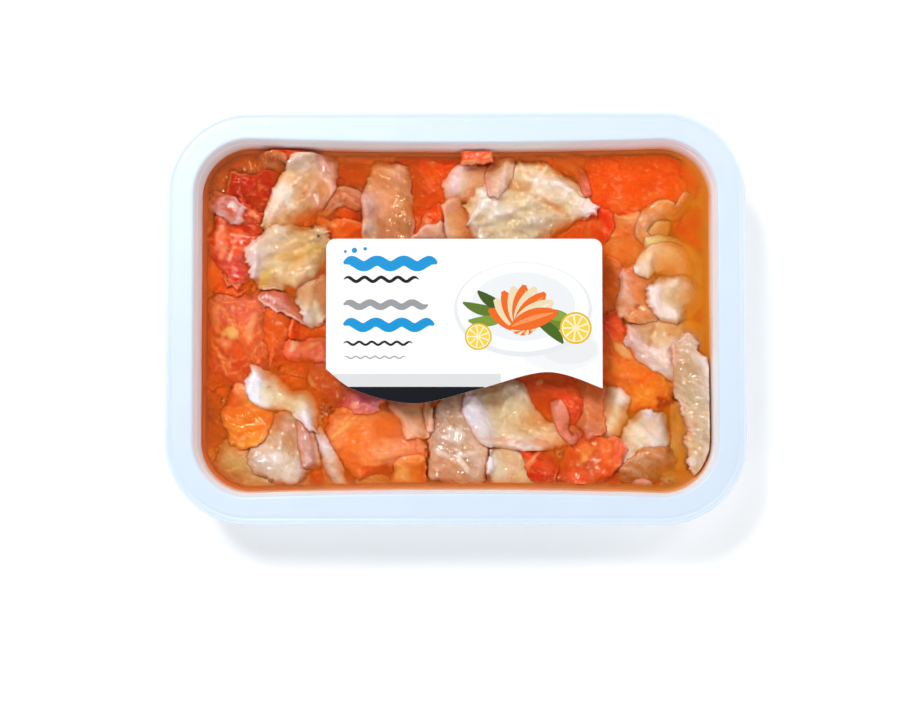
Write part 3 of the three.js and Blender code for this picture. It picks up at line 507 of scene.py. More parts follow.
def spline(values, t):
    """A smooth curve through equally spaced values, at shares t of its length.

    Between two values the curve is the cubic whose slope at each is half the difference of that
    value's neighbours. The first and last value count as their own outer neighbour.
    """
    values = np.asarray(values, float)
    last = len(values) - 1
    place = np.clip(t, 0, 1) * last
    k = np.minimum(place.astype(int), last - 1)
    w = place - k
    p0, p1, p2, p3 = (values[np.clip(k + n, 0, last)] for n in (-1, 0, 1, 2))
    if values.ndim > 1:
        w = w[..., None]
    v1, v2 = (p2 - p0) / 2, (p3 - p1) / 2
    cubic, square = 2 * p1 - 2 * p2 + v1 + v2, 3 * p2 - 3 * p1 - 2 * v1 - v2
    return cubic * w ** 3 + square * w ** 2 + v1 * w + p1


# ---- the tray's outline ----


def sizes():
    """The pack's sizes, in millimetres, as the panel gives them."""
    group = bpy.context.scene.fish_pack_sizes
    return {key: getattr(group, key) / MM for key in group.__annotations__}


def lean(z):
    """Inset of the inner wall's face from the mouth at height z, as a negative offset."""
    return -(sizes()["height"] - z) * math.tan(DRAFT)


def bend(x):
    """How far the long walls bend in at a place along them: a parabola between the corners."""
    return BOW * np.maximum(0, 1 - (x / (sizes()["half_length"] - CORNER_RADIUS)) ** 2)


def by_side(x, y, tints):
    """Colours that go over from one to the next round the tray: at its left, right, back and front.

    Each counts by the fourth power of how far the place lies towards its side.
    """
    size = sizes()
    a, b = x / size["half_length"], 0.9 * y / size["half_width"]
    weights = np.stack([np.maximum(0, way) ** 4 + 1e-6 for way in (-a, a, b, -b)], -1)
    return (weights @ np.array([rgb(tint) for tint in tints])) / weights.sum(-1, keepdims=True)


def keep_inside(x, y, offset):
    """Points moved straight back inside the mouth's outline at the given offset."""
    size = sizes()
    r = CORNER_RADIUS + offset
    cx = size["half_length"] - CORNER_RADIUS
    cy = size["half_width"] - CORNER_RADIUS - bend(x)
    dx = np.maximum(0, np.abs(x) - cx)
    dy = np.maximum(0, np.abs(y) - cy)
    share = np.minimum(1, r / np.maximum(np.hypot(dx, dy), 1e-9))
    return (np.sign(x) * (np.minimum(np.abs(x), cx) + dx * share),
            np.sign(y) * (np.minimum(np.abs(y), cy) + dy * share))


def ring(offset, bowed=True):
    """The mouth's outline moved out by offset, as points anticlockwise from above.

    Four quarter circles joined by straight sides. The long sides are bent in by bend(x), which
    fades to nothing down the corners.
    """
    corner, long, short = 16, 28, 18  # steps round a corner and along the sides
    size = sizes()
    r = CORNER_RADIUS + offset
    x, y = size["half_length"] + offset, size["half_width"] + offset
    points = []
    for side, (sx, sy) in enumerate(((1, 1), (-1, 1), (-1, -1), (1, -1))):
        turn = (side + np.arange(corner + 1) / corner) * math.pi / 2
        points.append([sx * (x - r) + r * np.cos(turn), sy * (y - r) + r * np.sin(turn)])
        n = short if side % 2 else long
        t = 1 - 2 * np.arange(1, n) / n
        points.append([np.full(n - 1, sx * x), sy * t * (y - r)] if side % 2
                      else [sx * t * (x - r), np.full(n - 1, sy * y)])
    points = np.concatenate([np.stack(part, 1) for part in points])
    if bowed:
        share = np.maximum(0, np.abs(points[:, 1]) - (y - r)) / r
        points[:, 1] -= np.sign(points[:, 1]) * bend(points[:, 0]) * share
    return points


def raised(outline, z):
    """A flat outline as points at height z."""
    return np.column_stack([outline, np.full(len(outline), z)])


# ---- meshes ----


def add_piece(name, points, faces, material, replaced=(), colours=None, masks=None,
              flat=False):
    """A new piece from points in millimetres and arrays of faces, riding on the pack's one body.

    colours and masks give a colour or a number for each point, as attributes by name.
    """
    mesh = bpy.data.meshes.new(name)
    mesh.vertices.add(len(points))
    mesh.vertices.foreach_set("co", (np.asarray(points) * MM).astype(np.float32).ravel())
    corners = np.concatenate([np.asarray(f, np.int32).ravel() for f in faces])
    lengths = np.concatenate([np.full(len(f), np.shape(f)[1]) for f in faces])
    mesh.loops.add(len(corners))
    mesh.loops.foreach_set("vertex_index", corners)
    mesh.polygons.add(len(lengths))
    mesh.polygons.foreach_set("loop_start", (np.cumsum(lengths) - lengths).astype(np.int32))
    mesh.polygons.foreach_set("use_smooth", np.full(len(lengths), not flat))
    mesh.update(calc_edges=True)
    for key, values in (colours or {}).items():
        values = np.concatenate([np.clip(values, 0, 1), np.ones((len(values), 1))], 1)
        layer = mesh.attributes.new(key, "FLOAT_COLOR", "POINT")
        layer.data.foreach_set("color", values.astype(np.float32).ravel())
    for key, values in (masks or {}).items():
        layer = mesh.attributes.new(key, "FLOAT", "POINT")
        layer.data.foreach_set("value", np.asarray(values, np.float32).ravel())
    mesh.materials.append(material)
    piece = bpy.data.objects.new(name, mesh)
    bpy.context.scene.collection.objects.link(piece)
    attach(piece, "root")
    if replaced:
        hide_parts(*replaced)


def joined(parts):
    """Points, faces and colours of many parts, each a tuple of these, as one body's."""
    starts = np.cumsum([0] + [len(points) for points, _, _ in parts])
    return (np.concatenate([points for points, _, _ in parts]),
            [face + start for (_, faces, _), start in zip(parts, starts) for face in faces],
            {"tint": np.concatenate([colours for _, _, colours in parts])})


def loft(rings):
    """Points and faces of equally long rings joined by quads, with one flat face over each end."""
    count, size = len(rings), len(rings[0])
    a = (np.arange(count - 1)[:, None] * size + np.arange(size)).ravel()
    b = (np.arange(count - 1)[:, None] * size + (np.arange(size) + 1) % size).ravel()
    ends = [np.arange(size)[None, ::-1], (count - 1) * size + np.arange(size)[None]]
    return np.concatenate(rings), [np.stack([a, b, b + size, a + size], 1), *ends]


def quads(index, order=(0, 1, 2, 3)):
    """The faces of a grid of point numbers, with their corners in that order."""
    corner = [index[:-1, :-1], index[1:, :-1], index[1:, 1:], index[:-1, 1:]]
    return np.stack([corner[k].ravel() for k in order], 1)


def shell(top, bottom):
    """Points and quads of a closed body between two grids of points that share their rim."""
    rows, columns = top.shape[:2]
    upper = np.arange(rows * columns).reshape(rows, columns)
    lower = upper.copy()
    inner = np.arange((rows - 2) * (columns - 2)).reshape(rows - 2, -1)
    lower[1:-1, 1:-1] = rows * columns + inner
    points = np.concatenate([top.reshape(-1, 3), bottom[1:-1, 1:-1].reshape(-1, 3)])
    return points, np.concatenate([quads(upper), quads(lower, (3, 2, 1, 0))])


# ---- laying the slices ----


class Relief:
    """Height of whatever lies highest so far, in square cells over the tray."""

    cell = 0.4
    half = (88.0, 61.0)

    def __init__(self, level):
        shape = [int(2 * h / self.cell) + 1 for h in self.half]
        self.heights = np.full(shape, float(level))
        # how strongly the oil above each cell is painted with a red glow
        self.painted_glow = np.zeros(shape)

    def place(self, x, y):
        """The cells in which places lie."""
        return [np.clip(np.rint((at + half) / self.cell).astype(int), 0, count - 1)
                for at, half, count in zip((x, y), self.half, self.heights.shape)]

    def highest(self):
        """Each cell raised to the highest of itself and its eight neighbours."""
        padded = np.pad(self.heights, 1, mode="edge")
        n, m = self.heights.shape
        return np.max([padded[a:a + n, b:b + m] for a in range(3) for b in range(3)], axis=0)

    def cover(self, surface, red):
        """Raised to a grid of points, which is first made four times as dense."""
        fine = surface
        for axis in (0, 1):
            fine = np.repeat(fine, 2, axis=axis)
            count = fine.shape[axis]
            fine = (fine.take(range(count - 1), axis) + fine.take(range(1, count), axis)) / 2
        i, j = self.place(fine[..., 0], fine[..., 1])
        shown = fine[..., 2] > self.heights[i, j] - 0.2
        np.maximum.at(self.heights, (i, j), fine[..., 2])
        self.painted_glow[i[shown], j[shown]] = red


def blur(z, passes=1):
    """Each point of a grid moved to the mean of itself and its neighbours along and across."""
    for _ in range(passes):
        p = np.pad(z, 1, mode="edge")
        z = (p[1:-1, 1:-1] * 2 + p[:-2, 1:-1] + p[2:, 1:-1] + p[1:-1, :-2] + p[1:-1, 2:]) / 6
    return z


def settle(ground, passes):
    """The underside of a limp sheet on that ground: smoothed again and again, never below it."""
    z = ground.copy()
    for _ in range(passes):
        z = np.maximum(ground, blur(z))
    return z


def shares(count, crowding=0.55):
    """Numbers from 0 to 1, closer together near both ends by a cosine, so that rims are round."""
    t = np.linspace(0, 1, count + 1)
    return (1 - crowding) * t + crowding * (0.5 - 0.5 * np.cos(math.pi * t))


def torn(along, seed):
    """How far a torn edge strays, along it: one smooth noise, and two whose crests are sharp."""
    still = along * 0
    return 1.3 * noise(along, still, 7, seed) \
        + 1.3 * (0.4 - np.abs(noise(along, still, 3.1, seed + 1))) \
        + 0.6 * (0.4 - np.abs(noise(along, still, 1.2, seed + 2)))


def plan(piece, seed, spacing):
    """A slice from above: a grid of places, and for each its way along and across.

    Along the middle line runs u from 0 to 1, and across it s from -1 to 1. A place is the middle
    line's point, plus s times half the width along its normal. The width falls off towards the
    ends by the root of one less the fourth power of 2u-1. The corners of both ends are drawn back
    by the cube of s, and the whole outline is torn.
    """
    path = np.asarray(piece["path"], float) * SPREAD
    widths = np.asarray(piece["widths"], float)
    line = spline(path, np.linspace(0, 1, 200))
    length = np.hypot(*np.diff(line, axis=0).T).sum()
    rows = int(np.clip(length / spacing, 12, 150))
    columns = int(np.clip(widths.max() / spacing, 8, 72))
    u, s = shares(rows)[:, None], 2 * shares(columns)[None] - 1
    middle = spline(path, u[:, 0])
    ahead = np.gradient(middle, u[:, 0], axis=0)
    ahead /= np.hypot(*ahead.T)[:, None]
    half = spline(widths, u[:, 0])[:, None] / 2 * (0.75 + 0.25 * np.sqrt(1 - (2 * u - 1) ** 4))
    rag = (0.3 + piece["rag"]) * np.minimum(1, half.max() / 3.5)
    way = u * length
    strays = np.where(s > 0, torn(way, seed + 3), torn(way, seed + 7))
    half = half * 1.1 + REACH + rag * strays * np.abs(s)
    end = (2 * u - 1) ** 4 * np.sign(2 * u - 1)
    across = s * half
    pulled = piece["round"] * np.minimum(half, length / 3) * np.abs(s) ** 3 \
        - rag * (1.0 + 1.2 * torn(across, seed + 11)) - REACH
    x = middle[:, 0, None] - ahead[:, 1, None] * across - ahead[:, 0, None] * end * pulled
    y = middle[:, 1, None] + ahead[:, 0, None] * across - ahead[:, 1, None] * end * pulled
    x, y = keep_inside(x, y, lean(BED + piece["rise"]) - SHORE)
    rim = np.minimum(np.minimum(way, length - way), (1 - np.abs(s)) * half)
    sheet = {"x": x, "y": y, "u": u, "s": s, "way": way, "across": across, "rim": rim,
             "half": half}
    return {key: np.broadcast_to(values, x.shape) for key, values in sheet.items()}


# each field on a slice has its own number, which is added to the slice's seed


def fibres(sheet, piece):
    """Places along and across the flesh's fibres, which run square to its lines of fat."""
    return turned(sheet["x"], sheet["y"], piece["fat_turn"] - 90)


def fat_lines(sheet, piece, seed):
    """Strength, from 0 to 1, of the pale lines of fat: bands of a slanted, warped wave.

    The wave runs along the slice turned by fat_turn, folds to a chevron about a line near the
    middle, and is cut into stretches by a coarse noise.
    """
    turn = math.radians(piece["fat_turn"])
    x, y = sheet["x"], sheet["y"]
    side = np.abs(sheet["across"] + 1.5 * noise(x, y, 9, seed + 21) + 2)
    phase = (sheet["way"] * math.sin(turn) + side * math.cos(turn)) / piece["fat_gap"]
    phase = phase + 0.55 * clouds(x, y, 6, seed + 22)
    wave = np.abs((phase % 1) - 0.5) * 2
    line = ease((wave - 0.72) / 0.24)
    return line * ease(0.5 + 1.6 * clouds(x, y, 7, seed + 23))


def layers(sheet, piece, seed):
    """Torn layers of flesh: how many lie at a place, and how near it is to the edge of one.

    A noise stretched along the fibres is cut at three heights. Each cut is a steep step with a
    ragged outline, so the surface stands in terraces, as where flakes have come off.
    """
    fx, fy = fibres(sheet, piece)
    field = noise(fx, fy * 1.8, 9, seed + 61) + 0.3 * noise(fx, fy * 1.5, 3, seed + 62) \
        + 0.1 * noise(sheet["x"], sheet["y"], 1.1, seed + 63)
    count, edge = 0, 0
    for cut in (-0.35, 0.0, 0.32):
        count = count + ease((field - cut) / 0.05 + 0.5)
        edge = np.maximum(edge, np.exp(-((field - cut - 0.035) / 0.03) ** 2))
    return count - 1.5, edge


def patch(x, y, mark, seed):
    """A soft oval patch with a wavering edge: 1 at its middle, 0.5 at its rim, 0 outside."""
    px, py, half_x, half_y, turn = mark[:5]
    a, b = turned(x - px * SPREAD, y - py * SPREAD, turn if half_x >= half_y else -turn)
    far = np.hypot(a / half_x, b / half_y) + 0.3 * noise(x, y, 1.6, seed + 50)
    return ease((1.35 - far) / 0.7)


def lift_of(sheet, piece, seed):
    """The relief on a slice's top, as a sum.

    It adds swells, facets, flakes, fine and deep creases, pebbles, fibres, folds and patches.
    """
    x, y, kind = sheet["x"], sheet["y"], KINDS[piece["kind"]]
    lift = piece["swell"] * clouds(x, y, 9, seed + 31, 2)
    wx = x + 1.5 * noise(x, y, 5, seed + 27)
    wy = y + 1.5 * noise(x, y, 5, seed + 28)
    facets = 0.45 - np.abs(noise(wx, wy, 8, seed + 29)) \
        - 0.35 * np.abs(noise(wx, wy, 3.4, seed + 30))
    fine = 0.22 * creases(x, y, 2.6, seed + 64) + 0.09 * noise(x, y, 1.2, seed + 65)
    lift = lift + FACET * kind["facets"] * facets
    lift = lift + kind["flakes"] * layers(sheet, piece, seed)[0]
    lift = lift + kind["fine"] * fine
    if piece["crease"]:
        deep, shallow = creases(x, y, 6.5, seed + 32), creases(x, y, 2.8, seed + 33)
        lift = lift + piece["crease"] * (deep + 0.3 * shallow - 0.4)
    if piece["pebble"]:
        pebbles = np.maximum(0, noise(x, y, 1.5, seed + 34)) \
            + 0.5 * np.maximum(0, noise(x, y, 0.9, seed + 35))
        where = ease(0.6 + 1.4 * noise(x, y, 8, seed + 36))
        lift = lift + piece["pebble"] * pebbles * where
    if piece["kind"] == "salmon":
        fx, fy = fibres(sheet, piece)
        lift = lift + 0.2 * noise(fx, fy * 4, 4.0, seed + 37) \
            + 0.1 * noise(fx, fy * 4, 1.8, seed + 38)
        lift = lift - 0.14 * piece["fat"] * fat_lines(sheet, piece, seed)
    for place, width, height in piece["folds"]:
        wander = place * sheet["half"] + 1.2 * noise(sheet["way"], sheet["way"] * 0, 8, seed + 39)
        lift = lift + height * np.exp(-((sheet["across"] - wander) / width) ** 2)
    for mark in piece["marks"]:
        lift = lift + mark[7] * patch(x, y, mark, seed)
    return lift


def colour_of(sheet, piece, seed):
    """The slice's colour at each place, in linear numbers.

    Its tones blend along it, its side colours come in over the outer half of the way across, and
    clouds make it lighter and darker. Salmon darkens in winding lines, painted shade as in
    crevices, and pales along its fibres and fat. White fish gets painted shade, warmer and darker,
    low between its crease ridges, and yellows in streaks. Torn layers are painted lighter above
    and darker below. Thin and torn rims get a pale painted highlight, and white fish a painted
    orange glow of light through its thin edges. Each patch lays its own colour over that, and the
    edge itself gets a painted warm shade.
    """
    x, y, rim, kind = sheet["x"], sheet["y"], sheet["rim"], KINDS[piece["kind"]]
    tones = np.array([rgb(tone) for tone in piece["tones"]])
    colour = np.clip(spline(tones, sheet["u"] + 0.08 * noise(x, y, 7, seed + 41)), 0, 1)
    if piece["sides"]:
        drift = sheet["s"] + 0.25 * noise(x, y, 6, seed + 42)
        for side, way in zip(piece["sides"], (drift, -drift)):
            colour = blend(colour, rgb(side), ease(way * 1.1))
    cloudy = kind["cloudy"] * clouds(x, y, 7, seed + 43)
    speckled = kind["speckled"] * clouds(x, y, 2.2, seed + 44)
    colour = colour * (1 + cloudy + speckled)[..., None]
    fx, fy = fibres(sheet, piece)
    streak = ease(noise(fx, fy * 5, 6, seed + 45) * 1.8 - 0.2)
    streak = np.maximum(streak, 0.8 * ease(noise(fx, fy * 5, 2.6, seed + 46) * 2 - 0.5))
    if piece["kind"] == "salmon":
        # painted shade: dark winding lines, a deeper red, as in crevices
        dark = creases(x, y, 5.5, seed + 66) ** 3 * ease(0.5 + 1.5 * noise(x, y, 9, seed + 67))
        colour = colour * (1 - dark[..., None] * [0.22, 0.5, 0.6])
        colour = blend(colour, rgb(FLESH["fibre"]), (0.08 + 0.45 * piece["fat"]) * streak)
        fat = 0.85 * piece["fat"] * fat_lines(sheet, piece, seed)
        colour = blend(colour, rgb(FLESH["fat"]), fat)
    else:
        # painted shade: warmer and darker low between the crease ridges of the relief
        dips = 0.15 * ease(1 - creases(x, y, 6.5, seed + 32))
        colour = blend(colour, rgb(FLESH["dip"]), dips * min(1, max(piece["crease"], 0.1) * 2))
        yellow = 0.1 * ease(noise(fx, fy * 4, 5, seed + 68) * 1.8)
        colour = colour * (1.03 - yellow[..., None] * [0.5, 1, 1.3])
        colour = blend(colour, rgb(FLESH["pale_fibre"]), 0.18 * streak)
    level, edge = layers(sheet, piece, seed)
    # painted light and shade: lighter on the upper torn layers, darker on the lower ones
    colour = colour * (1 + 0.06 * level)[..., None]
    # painted highlight: a pale line just inside the rim and along the edges of torn layers, where
    # thin flesh catches the light
    thin = np.maximum(np.exp(-((rim - 0.7) / 0.35) ** 2), kind["torn"] * edge)
    thin = thin * ease(0.55 + 1.5 * noise(x, y, 5, seed + 47))
    colour = blend(colour, rgb(kind["thin"]), 0.6 * thin)
    if piece["kind"] == "white":
        # painted glow: orange light seen through the thin edges of white fish
        see_through_glow = np.exp(-rim / 1.8) * ease(0.6 + 1.4 * noise(x, y, 6, seed + 48))
        colour = blend(colour, rgb(FLESH["see_through_glow"]), 0.42 * see_through_glow)
    # patches: many pale raised ones are painted highlights, and dark sunk ones painted shade
    for mark in piece["marks"]:
        colour = blend(colour, rgb(mark[5]), mark[6] * patch(x, y, mark, seed))
    # painted warm shade at the very edge, where the slice meets what lies below
    colour = blend(colour, rgb(kind["edge_shade"]), 0.6 * np.exp(-(rim / 0.4) ** 2))
    return np.clip(colour * kind["gain"], 0, 1)


def lay(piece, seed, relief, spacing, passes, level):
    """Lays one slice on the relief and returns its points, quads and colours.

    Its underside settles on what lies below, and its rim clings to that. Its thickness falls from
    the middle to the edge and closes over the rim in a bevel. Its top is lifted by its relief,
    which fades towards the rim, and bends away softly from the film above.
    """
    sheet = plan(piece, seed, spacing)
    x, y, rim = (sheet[key] for key in ("x", "y", "rim"))
    i, j = relief.place(x, y)
    ground = np.maximum(relief.highest()[i, j], level + piece["rise"]) + GAP
    under = blur(settle(ground, passes), 2) + 0.05
    near = np.maximum(ground, blur(ground, 3))
    under = near + (under - near) * (1 - np.exp(-rim / 2.2))
    crown = EDGE + (1 - EDGE) * (1 - np.exp(-rim / 1.7))
    thick = piece["thickness"] * crown * (1 + 0.12 * noise(x, y, 6, seed + 51))
    close = 1 - (1 - np.clip(rim / BEVEL, 0, 1)) ** 1.7
    turned_up = piece["lip"] + 0.3 * np.maximum(0, noise(x, y, 8, seed + 52))
    middle = under + thick / 2 + turned_up * np.exp(-rim / 1.2)
    lift = np.maximum(lift_of(sheet, piece, seed), -0.3 * thick) * (1 - 0.7 * np.exp(-rim / 1.6))
    top = middle + (thick / 2 + lift) * close
    top = top - 0.35 * np.log1p(np.exp((top - CEILING) / 0.35))
    bottom = np.minimum(middle - thick / 2 * close, top - 0.15 * close)
    upper, lower = (np.stack([x, y, z], -1) for z in (top, bottom))
    relief.cover(upper, KINDS[piece["kind"]]["painted_glow"])
    points, faces = shell(upper, lower)
    # the undersides take the painted warm shade
    colours = np.tile(rgb(UNDERSIDE_SHADE), (len(points), 1))
    colours[:top.size] = colour_of(sheet, piece, seed).reshape(-1, 3)
    return points, [faces], colours


# ---- materials ----


def add(tree, kind, inputs=None, **settings):
    """A node of that kind with its settings. An input given a socket is linked, others are set."""
    node = tree.nodes.new(kind)
    for key, value in settings.items():
        setattr(node, key, value)
    for key, value in (inputs or {}).items():
        if isinstance(value, bpy.types.NodeSocket):
            tree.links.new(value, node.inputs[key])
        else:
            node.inputs[key].default_value = value
    return node


def new_material(name, shader, *look):
    """A node material whose surface is what the given function adds to its tree."""
    material = bpy.data.materials.new(name)
    material.use_nodes = True
    tree = material.node_tree
    tree.nodes.clear()
    add(tree, "ShaderNodeOutputMaterial", {"Surface": shader(tree, *look)})
    return material


def panel_colour(key):
    """A colour of the panel as four linear numbers."""
    return (*getattr(bpy.context.scene.fish_pack_colours, key), 1.0)


def grain(tree, size_mm, detail=3.0, span=None):
    """Noise whose patches are about size_mm across, on the object's own coordinates.

    With a span, its values, which stay near their middle, are spread out between two numbers.
    """
    place = add(tree, "ShaderNodeTexCoord").outputs["Object"]
    value = add(tree, "ShaderNodeTexNoise", {"Vector": place, "Scale": 1 / (size_mm * MM),
                                             "Detail": detail}).outputs["Fac"]
    if span is None:
        return value
    return add(tree, "ShaderNodeMapRange", {
        "Value": value, "From Min": 0.3, "From Max": 0.7, "To Min": span[0],
        "To Max": span[1]}).outputs["Result"]


def bumps(tree, size_mm, detail, strength, depth_mm, **below):
    """A normal turned by such noise as a relief that deep."""
    return add(tree, "ShaderNodeBump", {
        "Height": grain(tree, size_mm, detail), "Strength": strength, "Distance": depth_mm * MM,
        **below}).outputs["Normal"]


def uneven(tree, size_mm, detail, span, colour=None):
    """A colour, or else the piece's own, made lighter and darker in patches of about size_mm."""
    if colour is None:
        colour = add(tree, "ShaderNodeAttribute", attribute_name="tint").outputs["Color"]
    return add(tree, "ShaderNodeVectorMath", {0: colour, 1: grain(tree, size_mm, detail, span)},
               operation="MULTIPLY").outputs["Vector"]


def clear_skin(tree, colour, ior, roughness, normal):
    """A clear sheet or surface, tinted by what the light passes, which mirrors by its angle.

    Only its outer face mirrors: the see-through shader doesn't bend light, and so an inner face
    would mirror far too much.
    """
    mirrored = add(tree, "ShaderNodeFresnel", {"IOR": ior, "Normal": normal}).outputs["Fac"]
    inner = add(tree, "ShaderNodeNewGeometry").outputs["Backfacing"]
    outer = add(tree, "ShaderNodeMath", {0: 1.0, 1: inner}, operation="SUBTRACT").outputs["Value"]
    share = add(tree, "ShaderNodeMath", {0: mirrored, 1: outer},
                operation="MULTIPLY").outputs["Value"]
    clear = add(tree, "ShaderNodeBsdfTransparent", {"Color": colour}).outputs["BSDF"]
    gloss = add(tree, "ShaderNodeBsdfGlossy", {"Roughness": roughness,
                                               "Normal": normal}).outputs["BSDF"]
    return add(tree, "ShaderNodeMixShader", {"Fac": share, 1: clear, 2: gloss}).outputs["Shader"]


def fish_shader(tree, sheen, scatter):
    """Sliced smoked fish, wet with oil: soft flesh that lets light in, under a thin skin of oil.

    It gives the eye a soft glow inside, fine fibres, and small sharp glints on the bumps.
    """
    fine = bumps(tree, 0.45, 3.0, 0.4, 0.03, Normal=bumps(tree, 1.4, 2.0, 0.8, 0.25))
    return add(tree, "ShaderNodeBsdfPrincipled", {
        "Base Color": uneven(tree, 0.8, 4.0, (0.94, 1.06)), "IOR": 1.42,
        "Roughness": grain(tree, 2.5, 3.0, (0.16, 0.3)), "Specular IOR Level": 0.25,
        "Subsurface Weight": 0.5, "Subsurface Radius": scatter, "Subsurface Scale": 0.9 * MM,
        "Normal": fine, "Coat Weight": sheen, "Coat Roughness": 0.05, "Coat IOR": 1.47,
        "Coat Normal": bumps(tree, 3.2, 2.0, 1.0, 1.2)}).outputs["BSDF"]


def tray_shader(tree):
    """Moulded polypropylene: it looks satin and slightly milky, with the mould's faint ripple."""
    # the inside, marked by the mask named stain, takes its painted colour: lighter than the
    # plastic, with painted orange light above the oil
    colour = add(tree, "ShaderNodeMix", {
        0: add(tree, "ShaderNodeAttribute", attribute_name="stain").outputs["Fac"],
        6: panel_colour("tray_colour"),
        7: add(tree, "ShaderNodeAttribute", attribute_name="tint").outputs["Color"]},
        data_type="RGBA").outputs[2]
    return add(tree, "ShaderNodeBsdfPrincipled", {
        "Base Color": uneven(tree, 14, 2.0, (0.985, 1.01), colour), "IOR": 1.49,
        "Roughness": grain(tree, 5, 3.0, (0.3, 0.42)), "Subsurface Weight": 0.12,
        "Subsurface Radius": (1.0, 1.0, 1.0), "Subsurface Scale": 1.2 * MM,
        "Normal": bumps(tree, 0.7, 3.0, 0.12, 0.04)}).outputs["BSDF"]


def oil_shader(tree):
    """Poured cooking oil, stained by smoked fish: it looks clear and amber, with a flat gloss.

    The deeper it is, the more its own colour covers what lies below. That colour holds painted
    light: a red glow above salmon, shade where it lies deep, and a band along the wall.
    """
    cover = add(tree, "ShaderNodeAttribute", attribute_name="cover").outputs["Fac"]
    stain = add(tree, "ShaderNodeAttribute", attribute_name="stain").outputs["Color"]
    ripple = bumps(tree, 6, 1.0, 0.25, 0.15)
    body = add(tree, "ShaderNodeBsdfPrincipled", {
        "Base Color": uneven(tree, 9, 2.0, (0.94, 1.05)), "Roughness": 0.12, "IOR": 1.47,
        "Normal": ripple}).outputs["BSDF"]
    skin = clear_skin(tree, stain, 1.47, 0.06, ripple)
    return add(tree, "ShaderNodeMixShader", {"Fac": cover, 1: skin, 2: body}).outputs["Shader"]


def film_shader(tree):
    """Cast polypropylene film, drawn tight: it is seen only by its faint gloss and its edge."""
    return clear_skin(tree, (0.985, 0.99, 0.995, 1), 1.49, 0.05, bumps(tree, 30, 1.0, 0.2, 0.3))


def print_shader(tree):
    """Printed polypropylene label: flat colours under a satin varnish, with a faint tooth."""
    return add(tree, "ShaderNodeBsdfPrincipled", {
        "Base Color": uneven(tree, 0.35, 2.0, (0.80, 0.825)), "Roughness": 0.22, "IOR": 1.46,
        "Normal": bumps(tree, 0.5, 2.0, 0.08, 0.02)}).outputs["BSDF"]


def floor_shader(tree):
    """Painted board, matt and white. It glows a little, so that the shadows on it stay pale."""
    return add(tree, "ShaderNodeBsdfPrincipled", {
        "Base Color": grain(tree, 40, 2.0, (0.955, 0.965)), "Roughness": 0.9,
        "Emission Color": (1, 1, 1, 1), "Emission Strength": 0.14}).outputs["BSDF"]


# ---- tray and film ----


def arc(cx, cz, r, start, stop, steps=6):
    """Points of an arc in the tray's profile, from one angle to another."""
    a = np.radians(np.linspace(start, stop, steps + 1))
    return np.stack([cx + r * np.cos(a), cz + r * np.sin(a)], 1).tolist()


def build_tray():
    """The tray as a profile carried round the mouth's outline: outside, lip, flange, inside.

    Each row of the profile is an offset from the mouth's outline and a height.
    """
    size = sizes()
    height, wall = size["height"], size["wall"]
    foot, under = lean(0) - FOOT, height - wall
    # the underside, the outer bend, and the outer wall up to the flange
    profile = [[foot - 30, 0], [foot - 8, 0], [foot - 2, 0]]
    profile += [[foot + 5.6 * math.sin(a) + 0.2 * a, 5 - 5 * math.cos(a)]
                for a in np.linspace(0.2, 1.3, 8)]
    profile += [[lean(z) + wall, z] for z in np.linspace(6, under - 2, 8)]
    # the flange's underside and its lip
    profile += [[0.2, under - 1.2], [0.7, under - 0.4], [1.6, under], [5, under],
                [FLANGE - wall, under], [FLANGE - wall, height - LIP], [FLANGE, height - LIP],
                [FLANGE, height - 2]]
    profile += arc(FLANGE - 0.9, height - 0.9, 0.9, 0, 90)
    # the flange's face, with the groove that sealing leaves in it
    profile += [[8.3, height]]
    profile += [[x, height - 0.12 * (1 - math.cos(2 * math.pi * (x - 6.4) / 1.6)) / 2]
                for x in np.linspace(8.0, 6.4, 9)]
    profile += [[5.5, height], [3, height], [1.4, height]]
    profile += arc(1.0, height - 0.9, 0.9, 90, 165)
    first_inside = len(profile) - 1
    # the inner wall with a step below the rim, the inner bend, and the floor
    profile += [[lean(z) - 0.02, z] for z in np.linspace(height - 1.6, height - 3.4, 4)]
    profile += [[lean(height - below) - inset, height - below]
                for below, inset in ((3.8, 0.22), (4.2, 0.26))]
    profile += [[lean(z) - 0.26 * (z - 5.4) / (height - 9.6), z]
                for z in np.linspace(height - 5, 5.4, 14)]
    profile += [[foot - 0.4 + 5.2 * math.sin(a), 5.4 - 4.5 * math.cos(a)]
                for a in np.linspace(1.25, 0.1, 8)]
    profile += [[foot - 8, wall], [foot - 30, wall]]
    rings = [raised(ring(offset, offset < 2), z) for offset, z in profile]
    points, faces = loft(rings)
    inside = np.repeat(np.arange(len(profile)) >= first_inside, len(rings[0]))
    # oil has stained the wall up to a wavering line, lower on the left and higher at the front; its
    # colour for each side also holds painted orange light that oil and fish throw onto the wall,
    # and the inside is painted lighter than the same plastic outside, so that it stays pale in its
    # shade
    x, y, z = points.T
    dry = 3 * ease((-x - 60) / 25) - 2.5 * ease((-y - 40) / 15)
    wet = ease((size["oil_level"] + 5.5 - dry - z + 1.2 * clouds(x, y, 16, 5)) / 5.5)
    tint = blend(rgb(LIT_INNER_WALL), by_side(x, y, WALL_STAIN_AND_GLOW), wet)
    plastic = new_material("moulded_polypropylene", tray_shader)
    add_piece("tray_shell", points, faces, plastic, ["tray"], {"tint": tint},
              {"stain": inside})


def build_film():
    """The film as a thin plate of the flange's outline, a hair above it and inside its edge."""
    size = sizes()
    outline = ring(FLANGE - 1, bowed=False)
    points, faces = loft([raised(outline, size["height"] + rise) for rise in (0.005, size["film"])])
    film = new_material("cast_polypropylene_film", film_shader)
    add_piece("lid_film_sheet", points, faces, film, ["film"], flat=True)


# ---- label ----


